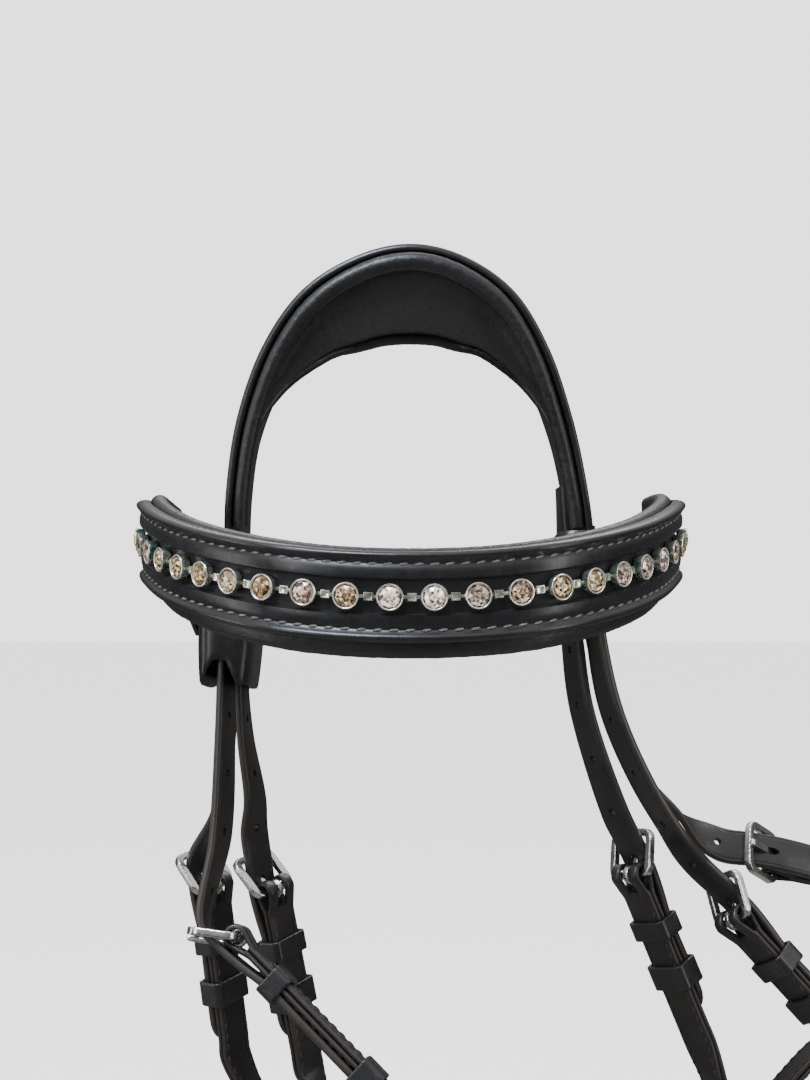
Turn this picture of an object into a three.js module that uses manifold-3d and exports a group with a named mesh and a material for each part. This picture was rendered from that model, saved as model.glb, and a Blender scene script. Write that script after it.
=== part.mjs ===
// A snaffle bridle hanging from its crown: padded crown with a browband of set stones, cheekpieces, throatlash,
// cavesson noseband and a loose-ring snaffle with a centre link.
// Millimetres. X is the bridle's own left to right as seen from the front, Y runs from front to back, Z is up.
// Routes are drawn about the browband's level, and the whole group is then moved so that the origin is the middle
// of the crown's padded underside, where a bridle hook holds it.
import * as THREE from "three";
import { mergeVertices } from "three/addons/utils/BufferGeometryUtils.js";
import Module from "manifold-3d";

const wasm = await Module();
wasm.setup();

// Driving dimensions.
const CROWN_SEAT = 77; // height of the crown's underside above the browband's level
const STRAP = 13; // width of every buckled strap
const LEATHER = 2.8; // one thickness of bridle leather
const DOUBLED = 4.2; // a strap folded on itself and stitched
const GAP = 0.3; // air between pieces that lie on each other
const HEADPIECE = 3; // thickness of the headpiece leather

const BAR = 2.6; // square bar of a buckle frame
const FRAME_LENGTH = 15; // between the two cross bars
const FRAME_INSIDE = 14.8;
const FRAME_LEAN = THREE.MathUtils.degToRad(36);
const BAR_HOLE = 2.4; // radius of the fold round the buckle's bar
const FOLD = 4.4; // outer radius of that fold
const TONGUE = 2.2; // width of the tongue
const KEEPER_WALL = 1.4;

const BAND_PITCH = 12; // from stone to stone
const CUP = 4; // radius of a stone's cup

const RING = 35; // bit ring, to the middle of its wire
const WIRE = 3.5; // radius of that wire
const MOUTH = 141; // between the two rings
const LOOP_HOLE = 5; // radius of the cheekpiece's loop round the ring

const LEATHER_COLOR = 0x17161a;
const LINING_COLOR = 0x1c1b1d;
const STEEL_COLOR = 0xc9c9c6;

const V = (x, y, z) => new THREE.Vector3(x, y, z);

const leather = new THREE.MeshStandardMaterial({ color: LEATHER_COLOR, roughness: 0.45 });
const lining = new THREE.MeshStandardMaterial({ color: LINING_COLOR, roughness: 0.7 });
const steel = new THREE.MeshStandardMaterial({ color: STEEL_COLOR, roughness: 0.25, metalness: 1 });
const setting = new THREE.MeshStandardMaterial({ color: 0xb4bcab, roughness: 0.3, metalness: 1 });

const bridle = new THREE.Group();
bridle.position.z = -CROWN_SEAT;

function put(name, geometry, material) {
  const mesh = new THREE.Mesh(geometry, material);
  mesh.name = name;
  bridle.add(mesh);
}

// ---- solids ----

function solid(geometry) {
  const bare = new THREE.BufferGeometry();
  bare.setAttribute("position", geometry.getAttribute("position"));
  if (geometry.index) bare.setIndex(geometry.index);
  const merged = mergeVertices(bare, 1e-4);
  const made = new wasm.Manifold(
    new wasm.Mesh({
      numProp: 3,
      vertProperties: new Float32Array(merged.attributes.position.array),
      triVerts: new Uint32Array(merged.index.array),
    }),
  );
  return made;
}

function geometryOf(made) {
  const mesh = made.getMesh();
  const geometry = new THREE.BufferGeometry();
  geometry.setAttribute("position", new THREE.BufferAttribute(new Float32Array(mesh.vertProperties), 3));
  geometry.setIndex(new THREE.BufferAttribute(new Uint32Array(mesh.triVerts), 1));
  return geometry;
}

const join = (...pieces) => geometryOf(pieces.map(solid).reduce((a, b) => a.add(b)));

const cut = (piece, ...tools) => geometryOf(tools.map(solid).reduce((a, b) => a.subtract(b), solid(piece)));

// ---- swept straps ----

// Frames along a smooth route. Each stop is a point and the direction of the strap's width there.
function route(stops, perSpan = 3, closed = false) {
  const path = new THREE.CatmullRomCurve3(stops.map((s) => s[0]), closed, "centripetal");
  const widths = new THREE.CatmullRomCurve3(stops.map((s) => s[1]), closed, "catmullrom", 0.5);
  const count = (stops.length - 1) * perSpan;
  return Array.from({ length: count + 1 }, (_, i) => {
    const t = i / count;
    const along = path.getTangent(t);
    const side = widths.getPoint(t);
    side.addScaledVector(along, -side.dot(along)).normalize();
    return { t, at: path.getPoint(t), side, out: along.clone().cross(side) };
  });
}

// A closed solid whose section at each frame is a list of [across, outwards] points.
function sweep(frames, section) {
  const rings = frames.map((f) =>
    section(f.t).map(([a, b]) => f.at.clone().addScaledVector(f.side, a).addScaledVector(f.out, b)),
  );
  const n = rings[0].length;
  const position = rings.flat().flatMap((p) => [p.x, p.y, p.z]);
  const faces = [];
  for (let i = 0; i + 1 < rings.length; i++)
    for (let k = 0; k < n; k++) {
      const a = i * n + k;
      const b = i * n + ((k + 1) % n);
      faces.push(a, b, a + n, b, b + n, a + n);
    }
  const flat = section(frames[0].t).map(([a, b]) => new THREE.Vector2(a, b));
  const clockwise = THREE.ShapeUtils.area(flat) < 0;
  const last = (rings.length - 1) * n;
  for (const cap of THREE.ShapeUtils.triangulateShape(flat, [])) {
    const [a, b, c] = clockwise ? cap.reverse() : cap;
    faces.push(a, c, b);
    faces.push(last + a, last + b, last + c);
  }
  const geometry = new THREE.BufferGeometry();
  geometry.setAttribute("position", new THREE.BufferAttribute(new Float32Array(position), 3));
  geometry.setIndex(faces);
  if (solidVolume(geometry) < 0) geometry.setIndex(faces.reverse());
  return geometry;
}

function solidVolume(geometry) {
  const p = geometry.attributes.position;
  const corner = (i) => new THREE.Vector3().fromBufferAttribute(p, i);
  const index = geometry.index.array;
  let sum = 0;
  for (let i = 0; i < index.length; i += 3)
    sum += corner(index[i]).dot(corner(index[i + 1]).cross(corner(index[i + 2])));
  return sum / 6;
}

const flatStrap = (width, thickness) => () => [
  [-width / 2, -thickness / 2],
  [width / 2, -thickness / 2],
  [width / 2, thickness / 2],
  [-width / 2, thickness / 2],
];

// ---- buckles ----

// A station is where two straps are buckled: its point is the middle of the buckle's hinge bar, u runs down the
// carrying strap, n points outwards and v across the strap.
function station(at, along, outward, twist, runner) {
  const u = along.clone().normalize();
  const n = outward.clone().addScaledVector(u, -outward.dot(u)).normalize();
  n.applyAxisAngle(u, THREE.MathUtils.degToRad(twist));
  const v = n.clone().cross(u);
  const matrix = new THREE.Matrix4().makeBasis(u, v, n).setPosition(at);
  return { u, v, n, matrix, runner, point: (a, b, c = 0) => V(a, c, b).applyMatrix4(matrix) };
}

const stations = {
  cheek_left: station(V(-58.3, -30, -139), V(0.72, -0.26, -0.64), V(-0.5, 0, -0.86), -14, 58),
  noseband_left: station(V(-49, 4, -131), V(0.19, 0, -0.98), V(-1, 0, 0), 36, 34),
  throatlash_left: station(V(-72.5, 17, -133), V(0.12, 0.04, -0.99), V(-1, 0, 0), 36, 34),
  noseband_right: station(V(79, 0, -125), V(0.38, 0, -0.92), V(1, 0, 0), -40, 34),
  cheek_right: station(V(113, -12, -138), V(0.67, -0.1, -0.73), V(0.8, 0, 0.6), -36, 34),
  throatlash_right: station(V(135, 20, -124), V(0.97, 0.02, -0.2), V(0.2, 0, 1), 56, 34),
  chin: station(V(6, 41, -277), V(-0.62, -0.78, 0), V(-0.78, 0.62, 0), 0, 28),
};

// The way a billet takes through its buckle, as [down the strap, outwards] in the station's frame.
const BILLET_WAY = [
  [-22, 4.4],
  [-11, 5.3],
  [0, 6.0],
  [9, 5.2],
  [18, 3.9],
  [34, 3.9],
];

const billetStops = (s, length, lead = 0) => {
  const way = BILLET_WAY.slice(lead).concat([[length, 3.9]]);
  return way.map(([a, b]) => [s.point(a, b), s.v]);
};

// A slot through the billet for the tongue.
function tongueHole(s) {
  const box = new THREE.BoxGeometry(9.8, 3, 8);
  return box.translate(-3.5, 0, 6).applyMatrix4(s.matrix);
}

// A profile in the station's plane of length and thickness, carried across the strap.
function acrossStrap(shape, width) {
  const geometry = new THREE.ExtrudeGeometry(shape, { depth: width, bevelEnabled: false, curveSegments: 5 });
  return geometry.translate(0, 0, -width / 2).rotateX(Math.PI / 2);
}

// A strap's end turned round a bar: `toward` is 1 where the strap runs on down, -1 where it comes from above.
function turnedEnd(outer, hole, toward) {
  const shape = new THREE.Shape();
  const half = DOUBLED / 2;
  const meet = Math.asin(half / outer);
  const reach = 9;
  if (toward > 0) {
    shape.absarc(0, 0, outer, meet, 2 * Math.PI - meet, false);
    shape.lineTo(reach, -half);
    shape.lineTo(reach, half);
  } else {
    shape.absarc(0, 0, outer, Math.PI + meet, Math.PI - meet, false);
    shape.lineTo(-reach, half);
    shape.lineTo(-reach, -half);
  }
  shape.holes.push(new THREE.Path().absarc(0, 0, hole, 0, 2 * Math.PI, true));
  return acrossStrap(shape, STRAP);
}

// The end of a carrying strap, with the slot in which the tongue turns.
function buckleEnd(s) {
  const slot = new THREE.BoxGeometry(9.6, 4, 12).translate(-0.2, 0, 0);
  return cut(turnedEnd(FOLD, BAR_HOLE, 1), slot).applyMatrix4(s.matrix);
}

function roundedLoop(length, width, wall, corner) {
  const outline = (target, x, y, r) => {
    target.moveTo(x - r, -y);
    target.absarc(x - r, -y + r, r, -Math.PI / 2, 0, false);
    target.absarc(x - r, y - r, r, 0, Math.PI / 2, false);
    target.absarc(-x + r, y - r, r, Math.PI / 2, Math.PI, false);
    target.absarc(-x + r, -y + r, r, Math.PI, 1.5 * Math.PI, false);
    return target;
  };
  const shape = outline(new THREE.Shape(), length / 2 + wall, width / 2 + wall, corner + wall);
  shape.holes.push(outline(new THREE.Path(), length / 2, width / 2, corner));
  return shape;
}

function buckleFrame(s) {
  const shape = roundedLoop(FRAME_LENGTH - BAR, FRAME_INSIDE, BAR, 1.6);
  const geometry = new THREE.ExtrudeGeometry(shape, { depth: BAR, bevelEnabled: false, curveSegments: 3 });
  geometry.translate(-FRAME_LENGTH / 2, 0, -BAR / 2).rotateY(FRAME_LEAN);
  return geometry.applyMatrix4(s.matrix);
}

function tongue(s) {
  const low = BAR / 2 + GAP;
  const high = low + 1.8;
  const tip = -(FRAME_LENGTH + 2.2);
  const eye = 3.5;
  const shape = new THREE.Shape();
  shape.moveTo(tip, low);
  shape.lineTo(-Math.sqrt(eye * eye - low * low), low);
  shape.absarc(0, 0, eye, Math.PI - Math.asin(low / eye), Math.PI * 2.5, false);
  shape.lineTo(-3, high);
  shape.lineTo(tip + 1, high);
  shape.lineTo(tip, high - 0.6);
  shape.holes.push(new THREE.Path().absarc(0, 0, 2.1, 0, 2 * Math.PI, true));
  return acrossStrap(shape, TONGUE).rotateY(FRAME_LEAN).applyMatrix4(s.matrix);
}

// A leather loop round the carrying strap and the billet.
function keeper(s, along, length) {
  const low = -DOUBLED / 2 - GAP;
  const high = 3.9 + LEATHER / 2 + GAP;
  const shape = roundedLoop(high - low, STRAP + 0.8, KEEPER_WALL, 0.8);
  const geometry = new THREE.ExtrudeGeometry(shape, { depth: length, bevelEnabled: false, curveSegments: 2 });
  geometry.translate((high + low) / 2, 0, 0).rotateY(-Math.PI / 2).translate(along + length, 0, 0);
  // rotateY(-90) turns the drawn x into +n and the depth into -u
  return geometry.applyMatrix4(s.matrix);
}

function buckle(name) {
  const s = stations[name];
  put(`${name}_buckle_frame`, buckleFrame(s), steel);
  put(`${name}_buckle_tongue`, tongue(s), steel);
  put(`${name}_fixed_keeper`, keeper(s, 17, 7), leather);
  put(`${name}_runner`, keeper(s, s.runner, 9), leather);
}

// ---- crown and headpiece ----

// Front and back edges of the crown's right half, from the poll down; the left half mirrors it.
const CROWN_EDGES = [
  [V(0, -21, 96), V(0, 23, 78)],
  [V(19, -20, 91.5), V(17, 23, 76)],
  [V(35, -19, 81), V(32, 21, 69)],
  [V(48, -17, 62), V(46, 18, 52)],
  [V(57, -15, 38), V(54, 15, 32)],
  [V(62, -14, 12), V(58, 14, 10)],
  [V(64, -13.5, -14), V(60, 13.5, -14)],
];

// The hanging crown leans a little to its left at half height.
const CROWN_LEAN = [0, 0.4, 1.1, 1.9, 2.1, 1.3, 0];

const mirrored = (p) => V(-p.x, p.y, p.z);

function crownStops(edges) {
  const lean = (p, i) => V(p.x - CROWN_LEAN[i], p.y, p.z);
  const right = edges.map((edge, i) => edge.map((p) => lean(p, i)));
  const left = edges.map((edge, i) => edge.map((p) => lean(mirrored(p), i))).slice(1).reverse();
  return left.concat(right).map(([front, back]) => {
    const middle = front.clone().lerp(back, 0.5);
    return [middle, back.clone().sub(front), front.distanceTo(back)];
  });
}

// A value that follows the crown's stops, by the share of the way from end to end.
function along(values) {
  return (t) => {
    const x = t * (values.length - 1);
    const i = Math.min(values.length - 2, Math.floor(x));
    return values[i] + (values[i + 1] - values[i]) * (x - i);
  };
}

const crown = crownStops(CROWN_EDGES);
const crownWidth = along(crown.map((s) => s[2]));
const crownFrames = route(crown, 4);

function headpieceCrown() {
  return sweep(crownFrames, (t) => flatStrap(crownWidth(t), HEADPIECE)());
}

// The padded lining: full width at the poll, drawn in to the front roll at its two ends.
function crownPadding() {
  const back = along([0.08, 0.08, 0.5, 0.9, 1, 1, 1, 1, 1, 0.9, 0.5, 0.08, 0.08]);
  const swell = along([4, 4, 6, 8, 9, 9.5, 9.5, 9.5, 9, 8, 6, 4, 4]);
  return sweep(crownFrames.slice(4, -4), (t) => {
    const top = -HEADPIECE / 2 - 2 * GAP;
    const front = -crownWidth(t) / 2 - 1.5;
    const rear = front + 8.5 + (crownWidth(t) - 5.5) * back(t);
    const deep = top - swell(t);
    return [
      [front + 1.6, top],
      [front, top - 2],
      [front + 0.8, deep + 1.2],
      [front + 3.4, deep],
      [rear - 3.4, deep],
      [rear - 0.8, deep + 1.2],
      [rear, top - 2],
      [rear - 1.6, top],
    ];
  });
}

// The four billets of the headpiece, two on each side, and the noseband's own two, which lie inside them.
const BILLETS = {
  cheek_right: {
    start: [
      [V(62.8, -6.9, 0), V(-0.12, 1, 0)],
      [V(63.8, -6.9, -16), V(-0.18, 1, 0)],
      [V(65.2, -8.5, -38), V(-0.3, 1, 0)],
      [V(70, -11.5, -64), V(-0.45, 1, -0.1)],
      [V(80, -12.5, -88), V(-0.45, 1, -0.2)],
      [V(91, -12.5, -106.5), V(-0.4, 1, -0.3)],
    ],
    length: 62,
  },
  throatlash_right: {
    start: [
      [V(60.6, 6.9, 0), V(-0.12, 1, 0)],
      [V(61.6, 6.9, -16), V(-0.14, 1, 0)],
      [V(66, 9, -40), V(-0.1, 1, 0)],
      [V(73, 13.5, -66), V(-0.1, 1, 0)],
      [V(84, 17, -90), V(-0.1, 1, 0)],
      [V(97, 19, -105), V(-0.2, 1, 0)],
    ],
    length: 50,
  },
  noseband_right: {
    start: [
      [V(52.2, 6.2, 19), V(-0.1, 1, 0)],
      [V(54, 5.5, 8), V(-0.12, 1, 0)],
      [V(56, 4.5, -14), V(-0.16, 1, 0)],
      [V(58, 3.5, -40), V(-0.3, 1, 0)],
      [V(61.5, 2.5, -66), V(-0.45, 1, 0)],
    ],
    length: 54,
  },
  cheek_left: {
    start: [
      [V(-62.8, -6.9, 0), V(-0.12, -1, 0)],
      [V(-63.8, -6.9, -16), V(-0.15, -1, 0)],
      [V(-64.6, -9, -40), V(-0.2, -1, 0)],
      [V(-64.6, -14, -72), V(-0.3, -1, 0)],
      [V(-65.5, -20, -107), V(-0.4, -1, 0)],
    ],
    lead: 1,
    length: 80,
  },
  throatlash_left: {
    start: [
      [V(-60.6, 6.9, 0), V(-0.12, -1, 0)],
      [V(-61.6, 6.9, -16), V(-0.15, -1, 0)],
      [V(-64, 7.5, -42), V(-0.1, -1, 0)],
      [V(-66.4, 12, -74), V(-0.15, -1, 0)],
      [V(-70.5, 16, -104), V(-0.2, -1, 0)],
    ],
    lead: 1,
    length: 58,
  },
  noseband_left: {
    start: [
      [V(-55.4, 5.6, 0), V(-0.1, -1, 0)],
      [V(-57.4, 4.5, -14), V(-0.16, -1, 0)],
      [V(-59.2, 4.5, -30), V(-0.16, -1, 0)],
      [V(-61, 5, -52), V(-0.1, -1, 0)],
      [V(-59.6, 4.5, -76), V(-0.2, -1, 0)],
      [V(-56.2, 4, -98), V(-0.42, -1, 0)],
    ],
    length: 54,
  },
};

function billet(name) {
  const s = stations[name];
  const { start, length, lead } = BILLETS[name];
  const stops = start.concat(billetStops(s, length, lead));
  const width = (t) => STRAP - (t > 0.985 ? 5 : 0);
  return cut(sweep(route(stops, 3), (t) => flatStrap(width(t), LEATHER)()), tongueHole(s));
}

function headpiece() {
  const billets = ["cheek_left", "throatlash_left", "cheek_right", "throatlash_right"].map(billet);
  return join(headpieceCrown(), ...billets);
}

// ---- straps that carry the buckles ----

const straightAway = (s, to) => [4, 20, to - 10, to].map((a) => [s.point(a, 0), s.v]);

// A carrying strap: turned round its buckle's bar, doubled near it, then along its own way.
function carryingStrap(name, straight, way) {
  const s = stations[name];
  const stops = straightAway(s, straight).concat(way);
  const thick = (t) => (t < 0.45 ? DOUBLED : DOUBLED - 0.6);
  return join(buckleEnd(s), sweep(route(stops, 3), (t) => flatStrap(STRAP, thick(t))()));
}

// ---- bit ----

const bitLeft = V(52, -106, -322);
const bitRight = V(186, -62, -322);
const bitAxis = bitRight.clone().sub(bitLeft).normalize();
const bitBack = V(0, 0, 1).cross(bitAxis);
const bitCentre = bitLeft.clone().lerp(bitRight, 0.5).add(V(0, 0, -RING - LOOP_HOLE + WIRE + 1));
// Bit frame: X along the mouthpiece from left to right, Y to the back, Z up, from the middle of the rings' axis.
const bitMatrix = new THREE.Matrix4().makeBasis(bitAxis, bitBack, V(0, 0, 1)).setPosition(bitCentre);
const half = MOUTH / 2;

function bitRing(side) {
  const torus = new THREE.TorusGeometry(RING, WIRE, 8, 36).rotateY(Math.PI / 2);
  return torus.translate(side * half, 0, 0).applyMatrix4(bitMatrix);
}

const LINK_HOLE = 7; // from the middle of the link to the middle of each hole
const EYE = 5; // radius of an arm's eye, to the middle of its wire

function mouthArm(side) {
  const profile = [
    [0, -8.5],
    [5.5, -8],
    [8.6, -3.5],
    [8.6, 3.5],
    [7.2, 10],
    [6.6, 24],
    [4.6, half - LINK_HOLE - 2 * EYE - 1.6],
    [0, half - LINK_HOLE - 2 * EYE + 0.6],
  ].map(([r, y]) => new THREE.Vector2(r, y));
  const body = new THREE.LatheGeometry(profile, 12).rotateZ(Math.PI / 2);
  // the lathe's axis now runs along -X, from the ring inwards on the right arm
  const eye = new THREE.TorusGeometry(EYE, 2, 8, 16).translate(-(half - LINK_HOLE - EYE), 0, 0);
  const bore = new THREE.CylinderGeometry(4.8, 4.8, 24, 14);
  const arm = cut(join(body, eye), bore);
  if (side < 0) arm.rotateZ(Math.PI);
  return arm.translate(side * half, 0, -RING).applyMatrix4(bitMatrix);
}

function mouthLink() {
  const shape = new THREE.Shape();
  const tall = 4.7;
  const reach = LINK_HOLE + 5.4;
  shape.absarc(reach - tall, 0, tall, -Math.PI / 2, Math.PI / 2, false);
  shape.absarc(-reach + tall, 0, tall, Math.PI / 2, 1.5 * Math.PI, false);
  for (const side of [-1, 1])
    shape.holes.push(new THREE.Path().absarc(side * LINK_HOLE, 0, 3, 0, 2 * Math.PI, true));
  const plate = new THREE.ExtrudeGeometry(shape, { depth: 3, bevelEnabled: false, curveSegments: 8 });
  return plate.translate(0, 0, -1.5).rotateX(Math.PI / 2).translate(0, 0, -RING).applyMatrix4(bitMatrix);
}

// The loop at a cheekpiece's lower end, round the top of its ring.
function bitLoopMatrix(side) {
  const u = V(0, 0, -1);
  const n = bitAxis.clone().multiplyScalar(side);
  const at = V(side * half, 0, RING - LOOP_HOLE + WIRE + 1).applyMatrix4(bitMatrix);
  return new THREE.Matrix4().makeBasis(u, n.clone().cross(u), n).setPosition(at);
}

function cheekpiece(name, side, straight, way) {
  const matrix = bitLoopMatrix(side);
  const end = [30, 8].map((a) => [V(-a, 0, 0).applyMatrix4(matrix), V(0, 1, 0).transformDirection(matrix)]);
  const strap = carryingStrap(name, straight, way.concat(end));
  return join(strap, turnedEnd(LOOP_HOLE + LEATHER, LOOP_HOLE, -1).applyMatrix4(matrix));
}

// The hook stud that closes the loop, on the inner face of the cheekpiece.
function hookStud(side) {
  const head = new THREE.CylinderGeometry(2.6, 3.2, 2.4, 10).rotateX(-Math.PI / 2);
  return head.translate(-20, 0, -DOUBLED / 2 - GAP - 1.2).applyMatrix4(bitLoopMatrix(side));
}

// ---- browband ----

const BAND_RIGHT = [
  [V(0, -108.5, -21), V(0, 0, 1)],
  [V(21, -106.5, -20.4), V(0, 0, 1)],
  [V(39.2, -100.9, -18.6), V(0, 0, 1)],
  [V(57.9, -87.1, -15.4), V(0, 0, 1)],
  [V(72.6, -69.4, -11.5), V(0.02, 0, 1)],
  [V(82.9, -48.5, -7), V(0.05, 0, 1)],
  [V(87, -33, -4.6), V(0.05, 0.08, 1)],
];
const BAND_END = {
  right: [
    [V(86.5, -20, -5), V(0.05, 0.18, 1)],
    [V(80, -7, -10), V(0.05, 0.25, 1)],
  ],
  left: [
    [V(-86.5, -20, -7), V(-0.05, 0.3, 1)],
    [V(-80, -7, -15), V(-0.05, 0.4, 1)],
  ],
};
const LOOP_CENTRE = { right: V(60.9, 0.5, -19), left: V(-63.9, 2.2, -41) };
const LOOP_INSIDE = [16.6, 39];
const LOOP_TILT = { right: 8, left: 8 };

function bandStops() {
  const left = BAND_RIGHT.slice(1).reverse().map(([p, w]) => [mirrored(p), mirrored(w)]);
  return BAND_END.left.slice().reverse().concat(left, BAND_RIGHT, BAND_END.right);
}

const bandFrames = route(bandStops(), 4);

const BAND_FACE = [
  [-13, 0],
  [-13, 2.2],
  [-10.5, 4.2],
  [-7.4, 4.4],
  [-5.4, 3.4],
  [-5.2, 1.4],
  [5.2, 1.4],
  [5.4, 3.4],
  [7.4, 4.4],
  [10.5, 4.2],
  [13, 2.2],
  [13, 0],
];

const BAND_LINING = [
  [13, -2 * GAP],
  [15.4, -1.6],
  [15.4, -4],
  [12, -6.2],
  [-12, -6.2],
  [-15.4, -4],
  [-15.4, -1.6],
  [-13, -2 * GAP],
];

// The loop through which the headpiece passes, with its axis leaning a little.
function bandLoop(side) {
  const shape = roundedLoop(...LOOP_INSIDE, 2, 3);
  const geometry = new THREE.ExtrudeGeometry(shape, { depth: 28, bevelEnabled: false, curveSegments: 3 });
  geometry.translate(0, 0, -14).rotateX(-THREE.MathUtils.degToRad(LOOP_TILT[side]));
  return geometry.translate(...LOOP_CENTRE[side].toArray());
}

// Short bridges carry the band's two ends on to their loops.
function bandBridge(side) {
  const [p, w] = BAND_END[side][1];
  const sign = side === "right" ? 1 : -1;
  const wall = LOOP_CENTRE[side].clone().add(V(sign * (LOOP_INSIDE[0] / 2 + 1), 2, 0));
  if (side === "left") wall.z += 10;
  const before = BAND_END[side][0][0];
  const stops = [
    [before.clone().lerp(p, 0.7), w],
    [p, w],
    [wall, V(0, 0.2, 1)],
  ];
  const frames = route(sign > 0 ? stops : stops.reverse(), 3);
  return sweep(frames, () => [
    [-9, 0.1],
    [9, 0.1],
    [9, 2.1],
    [-9, 2.1],
  ]);
}

function browbandLeather() {
  const face = sweep(bandFrames, () => BAND_FACE);
  return join(face, bandLoop("left"), bandLoop("right"), bandBridge("left"), bandBridge("right"));
}

// Cups on a linked chain, laid in the browband's channel.
function stoneChain() {
  const stops = bandStops();
  const frames = route(stops, 40);
  const lengths = [0];
  for (let i = 1; i < frames.length; i++) lengths.push(lengths[i - 1] + frames[i].at.distanceTo(frames[i - 1].at));
  const total = lengths.at(-1);
  const frameAt = (distance) => frames[Math.max(0, lengths.findIndex((l) => l >= distance))] ?? frames.at(-1);
  const middle = lengths[Math.floor(frames.length / 2)];
  const each = Math.floor((total / 2 - 14) / BAND_PITCH);
  const pieces = [];
  const floor = 1.4 + GAP;
  for (let k = -each; k < each; k++) {
    const f = frameAt(middle + (k + 0.5) * BAND_PITCH);
    const matrix = new THREE.Matrix4().makeBasis(f.side.clone().cross(f.out), f.side, f.out).setPosition(f.at);
    const cup = new THREE.CylinderGeometry(CUP, CUP - 0.5, 3.4, 9).rotateX(Math.PI / 2);
    pieces.push(cup.translate(0, 0, floor + 1.7).applyMatrix4(matrix));
  }
  const end = (each - 0.5) * BAND_PITCH;
  const links = [];
  for (let d = middle - end; d <= middle + end + 0.1; d += BAND_PITCH / 2) {
    const f = frameAt(d);
    links.push([f.at.clone().addScaledVector(f.out, floor + 1.2), f.side]);
  }
  return join(sweep(route(links, 1), flatStrap(2.4, 1.2)), ...pieces);
}

// ---- noseband ----

const NOSE_Z = -277;
const NOSE_STOPS = [
  [V(-24, 0, NOSE_Z), V(0, 0, 1)],
  [V(-24, -26, NOSE_Z), V(0, 0, 1)],
  [V(-12, -56, NOSE_Z), V(0, 0, 1)],
  [V(14, -78, NOSE_Z), V(0, 0, 1)],
  [V(46, -85, NOSE_Z), V(0, 0, 1)],
  [V(78, -78, NOSE_Z), V(0, 0, 1)],
  [V(104, -56, NOSE_Z), V(0, 0, 1)],
  [V(116, -26, NOSE_Z), V(0, 0, 1)],
  [V(116, 0, NOSE_Z), V(0, 0, 1)],
];
const NOSE_WIDTH = along([18, 24, 29, 31, 31, 31, 29, 24, 18]);
const NOSE_LEATHER = 3.4;

// The nose leather, with the chin strap's buckle end on its left and the billet on its right.
function nosebandLeather() {
  const frames = route(NOSE_STOPS, 3);
  const nose = sweep(frames, (t) => flatStrap(NOSE_WIDTH(t), NOSE_LEATHER)());
  const s = stations.chin;
  // Both tails start inside the nose leather's ends.
  const leftTail = [4, 20, 36].map((a) => [s.point(a, 0), s.v]).concat([
    [V(-23.4, 4, NOSE_Z), V(0, 0, -1)],
    [V(-24, -7, NOSE_Z), V(0, 0, -1)],
  ]);
  const rightTail = [
    [V(116, -7, NOSE_Z), V(0, 0, 1)],
    [V(116, 6, NOSE_Z), V(0, 0, 1)],
    [V(112, 28, NOSE_Z), V(0, 0, 1)],
    [V(97, 48, NOSE_Z), V(0, 0, 1)],
    [V(74, 60, NOSE_Z), V(0, 0, 1)],
    [V(48, 66, NOSE_Z), V(0, 0, 1)],
  ].map(([p, w]) => [p, w.clone().multiplyScalar(-1)]);
  const left = join(buckleEnd(s), sweep(route(leftTail, 3), flatStrap(STRAP, DOUBLED - 0.4)));
  const billetEnd = rightTail.concat(billetStops(s, 46));
  const right = cut(sweep(route(billetEnd, 3), flatStrap(STRAP, LEATHER)), tongueHole(s));
  return join(nose, left, right);
}

function nosebandPadding() {
  const frames = route(NOSE_STOPS.slice(1, 8), 3);
  const width = along([22, 32, 34, 34, 34, 32, 22]);
  const deep = along([4, 7, 8, 8, 8, 7, 4]);
  return sweep(frames, (t) => {
    const w = width(t) / 2;
    const top = -NOSE_LEATHER / 2 - GAP;
    const low = top - deep(t);
    return [
      [w - 1.5, top],
      [w, (top + low) / 2],
      [w - 2.5, low],
      [-w + 2.5, low],
      [-w, (top + low) / 2],
      [-w + 1.5, top],
    ].reverse();
  });
}

// A hanger ends on the outer face of the nose leather.
function noseHanger(name, sign, way) {
  const x = 46 + sign * (70.8 + NOSE_LEATHER / 2 + GAP + (DOUBLED - 0.6) / 2);
  const across = V(0, sign, 0);
  return carryingStrap(name, 66, way.concat([
    [V(x, -4, NOSE_Z + 20), across],
    [V(x, -7, NOSE_Z + 2), across],
    [V(x, -8, NOSE_Z - 8), across],
  ]));
}

// ---- throatlash ----

// One strap with a buckle at each end, from the left buckle round to the right one.
function throatlashStrap() {
  const left = stations.throatlash_left;
  const right = stations.throatlash_right;
  const out = (x, y, z) => V(x, y, z);
  const loop = [
    [V(-53, 25, -220), out(0, -1, 0)],
    [V(-34, 29, -238), out(0, -1, 0)],
    [V(-4, 34, -250), out(0, -1, 0)],
    [V(36, 37, -256), out(0, -1, 0)],
    [V(78, 37, -252), out(0, -1, 0)],
    [V(112, 35, -238), out(0, -1, 0)],
    [V(136, 33, -219), out(0, -1, 0)],
    [V(154, 31, -199), out(0, -1, 0)],
    [V(176, 29, -182), out(0, -1, 0)],
    [V(196, 26, -167), out(0, -1, 0)],
    [V(204, 23, -152), out(0, -1, 0)],
    [V(198, 21, -140), out(0, -1, 0)],
  ];
  const start = [4, 20, 56, 64].map((a) => [left.point(a, 0), left.v]);
  const finish = [54, 48, 20, 4].map((a) => [right.point(a, 0), right.v.clone().negate()]);
  const strap = sweep(route(start.concat(loop, finish), 3), flatStrap(STRAP, DOUBLED - 0.4));
  return join(buckleEnd(left), strap, buckleEnd(right));
}

// ---- the bridle ----

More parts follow.
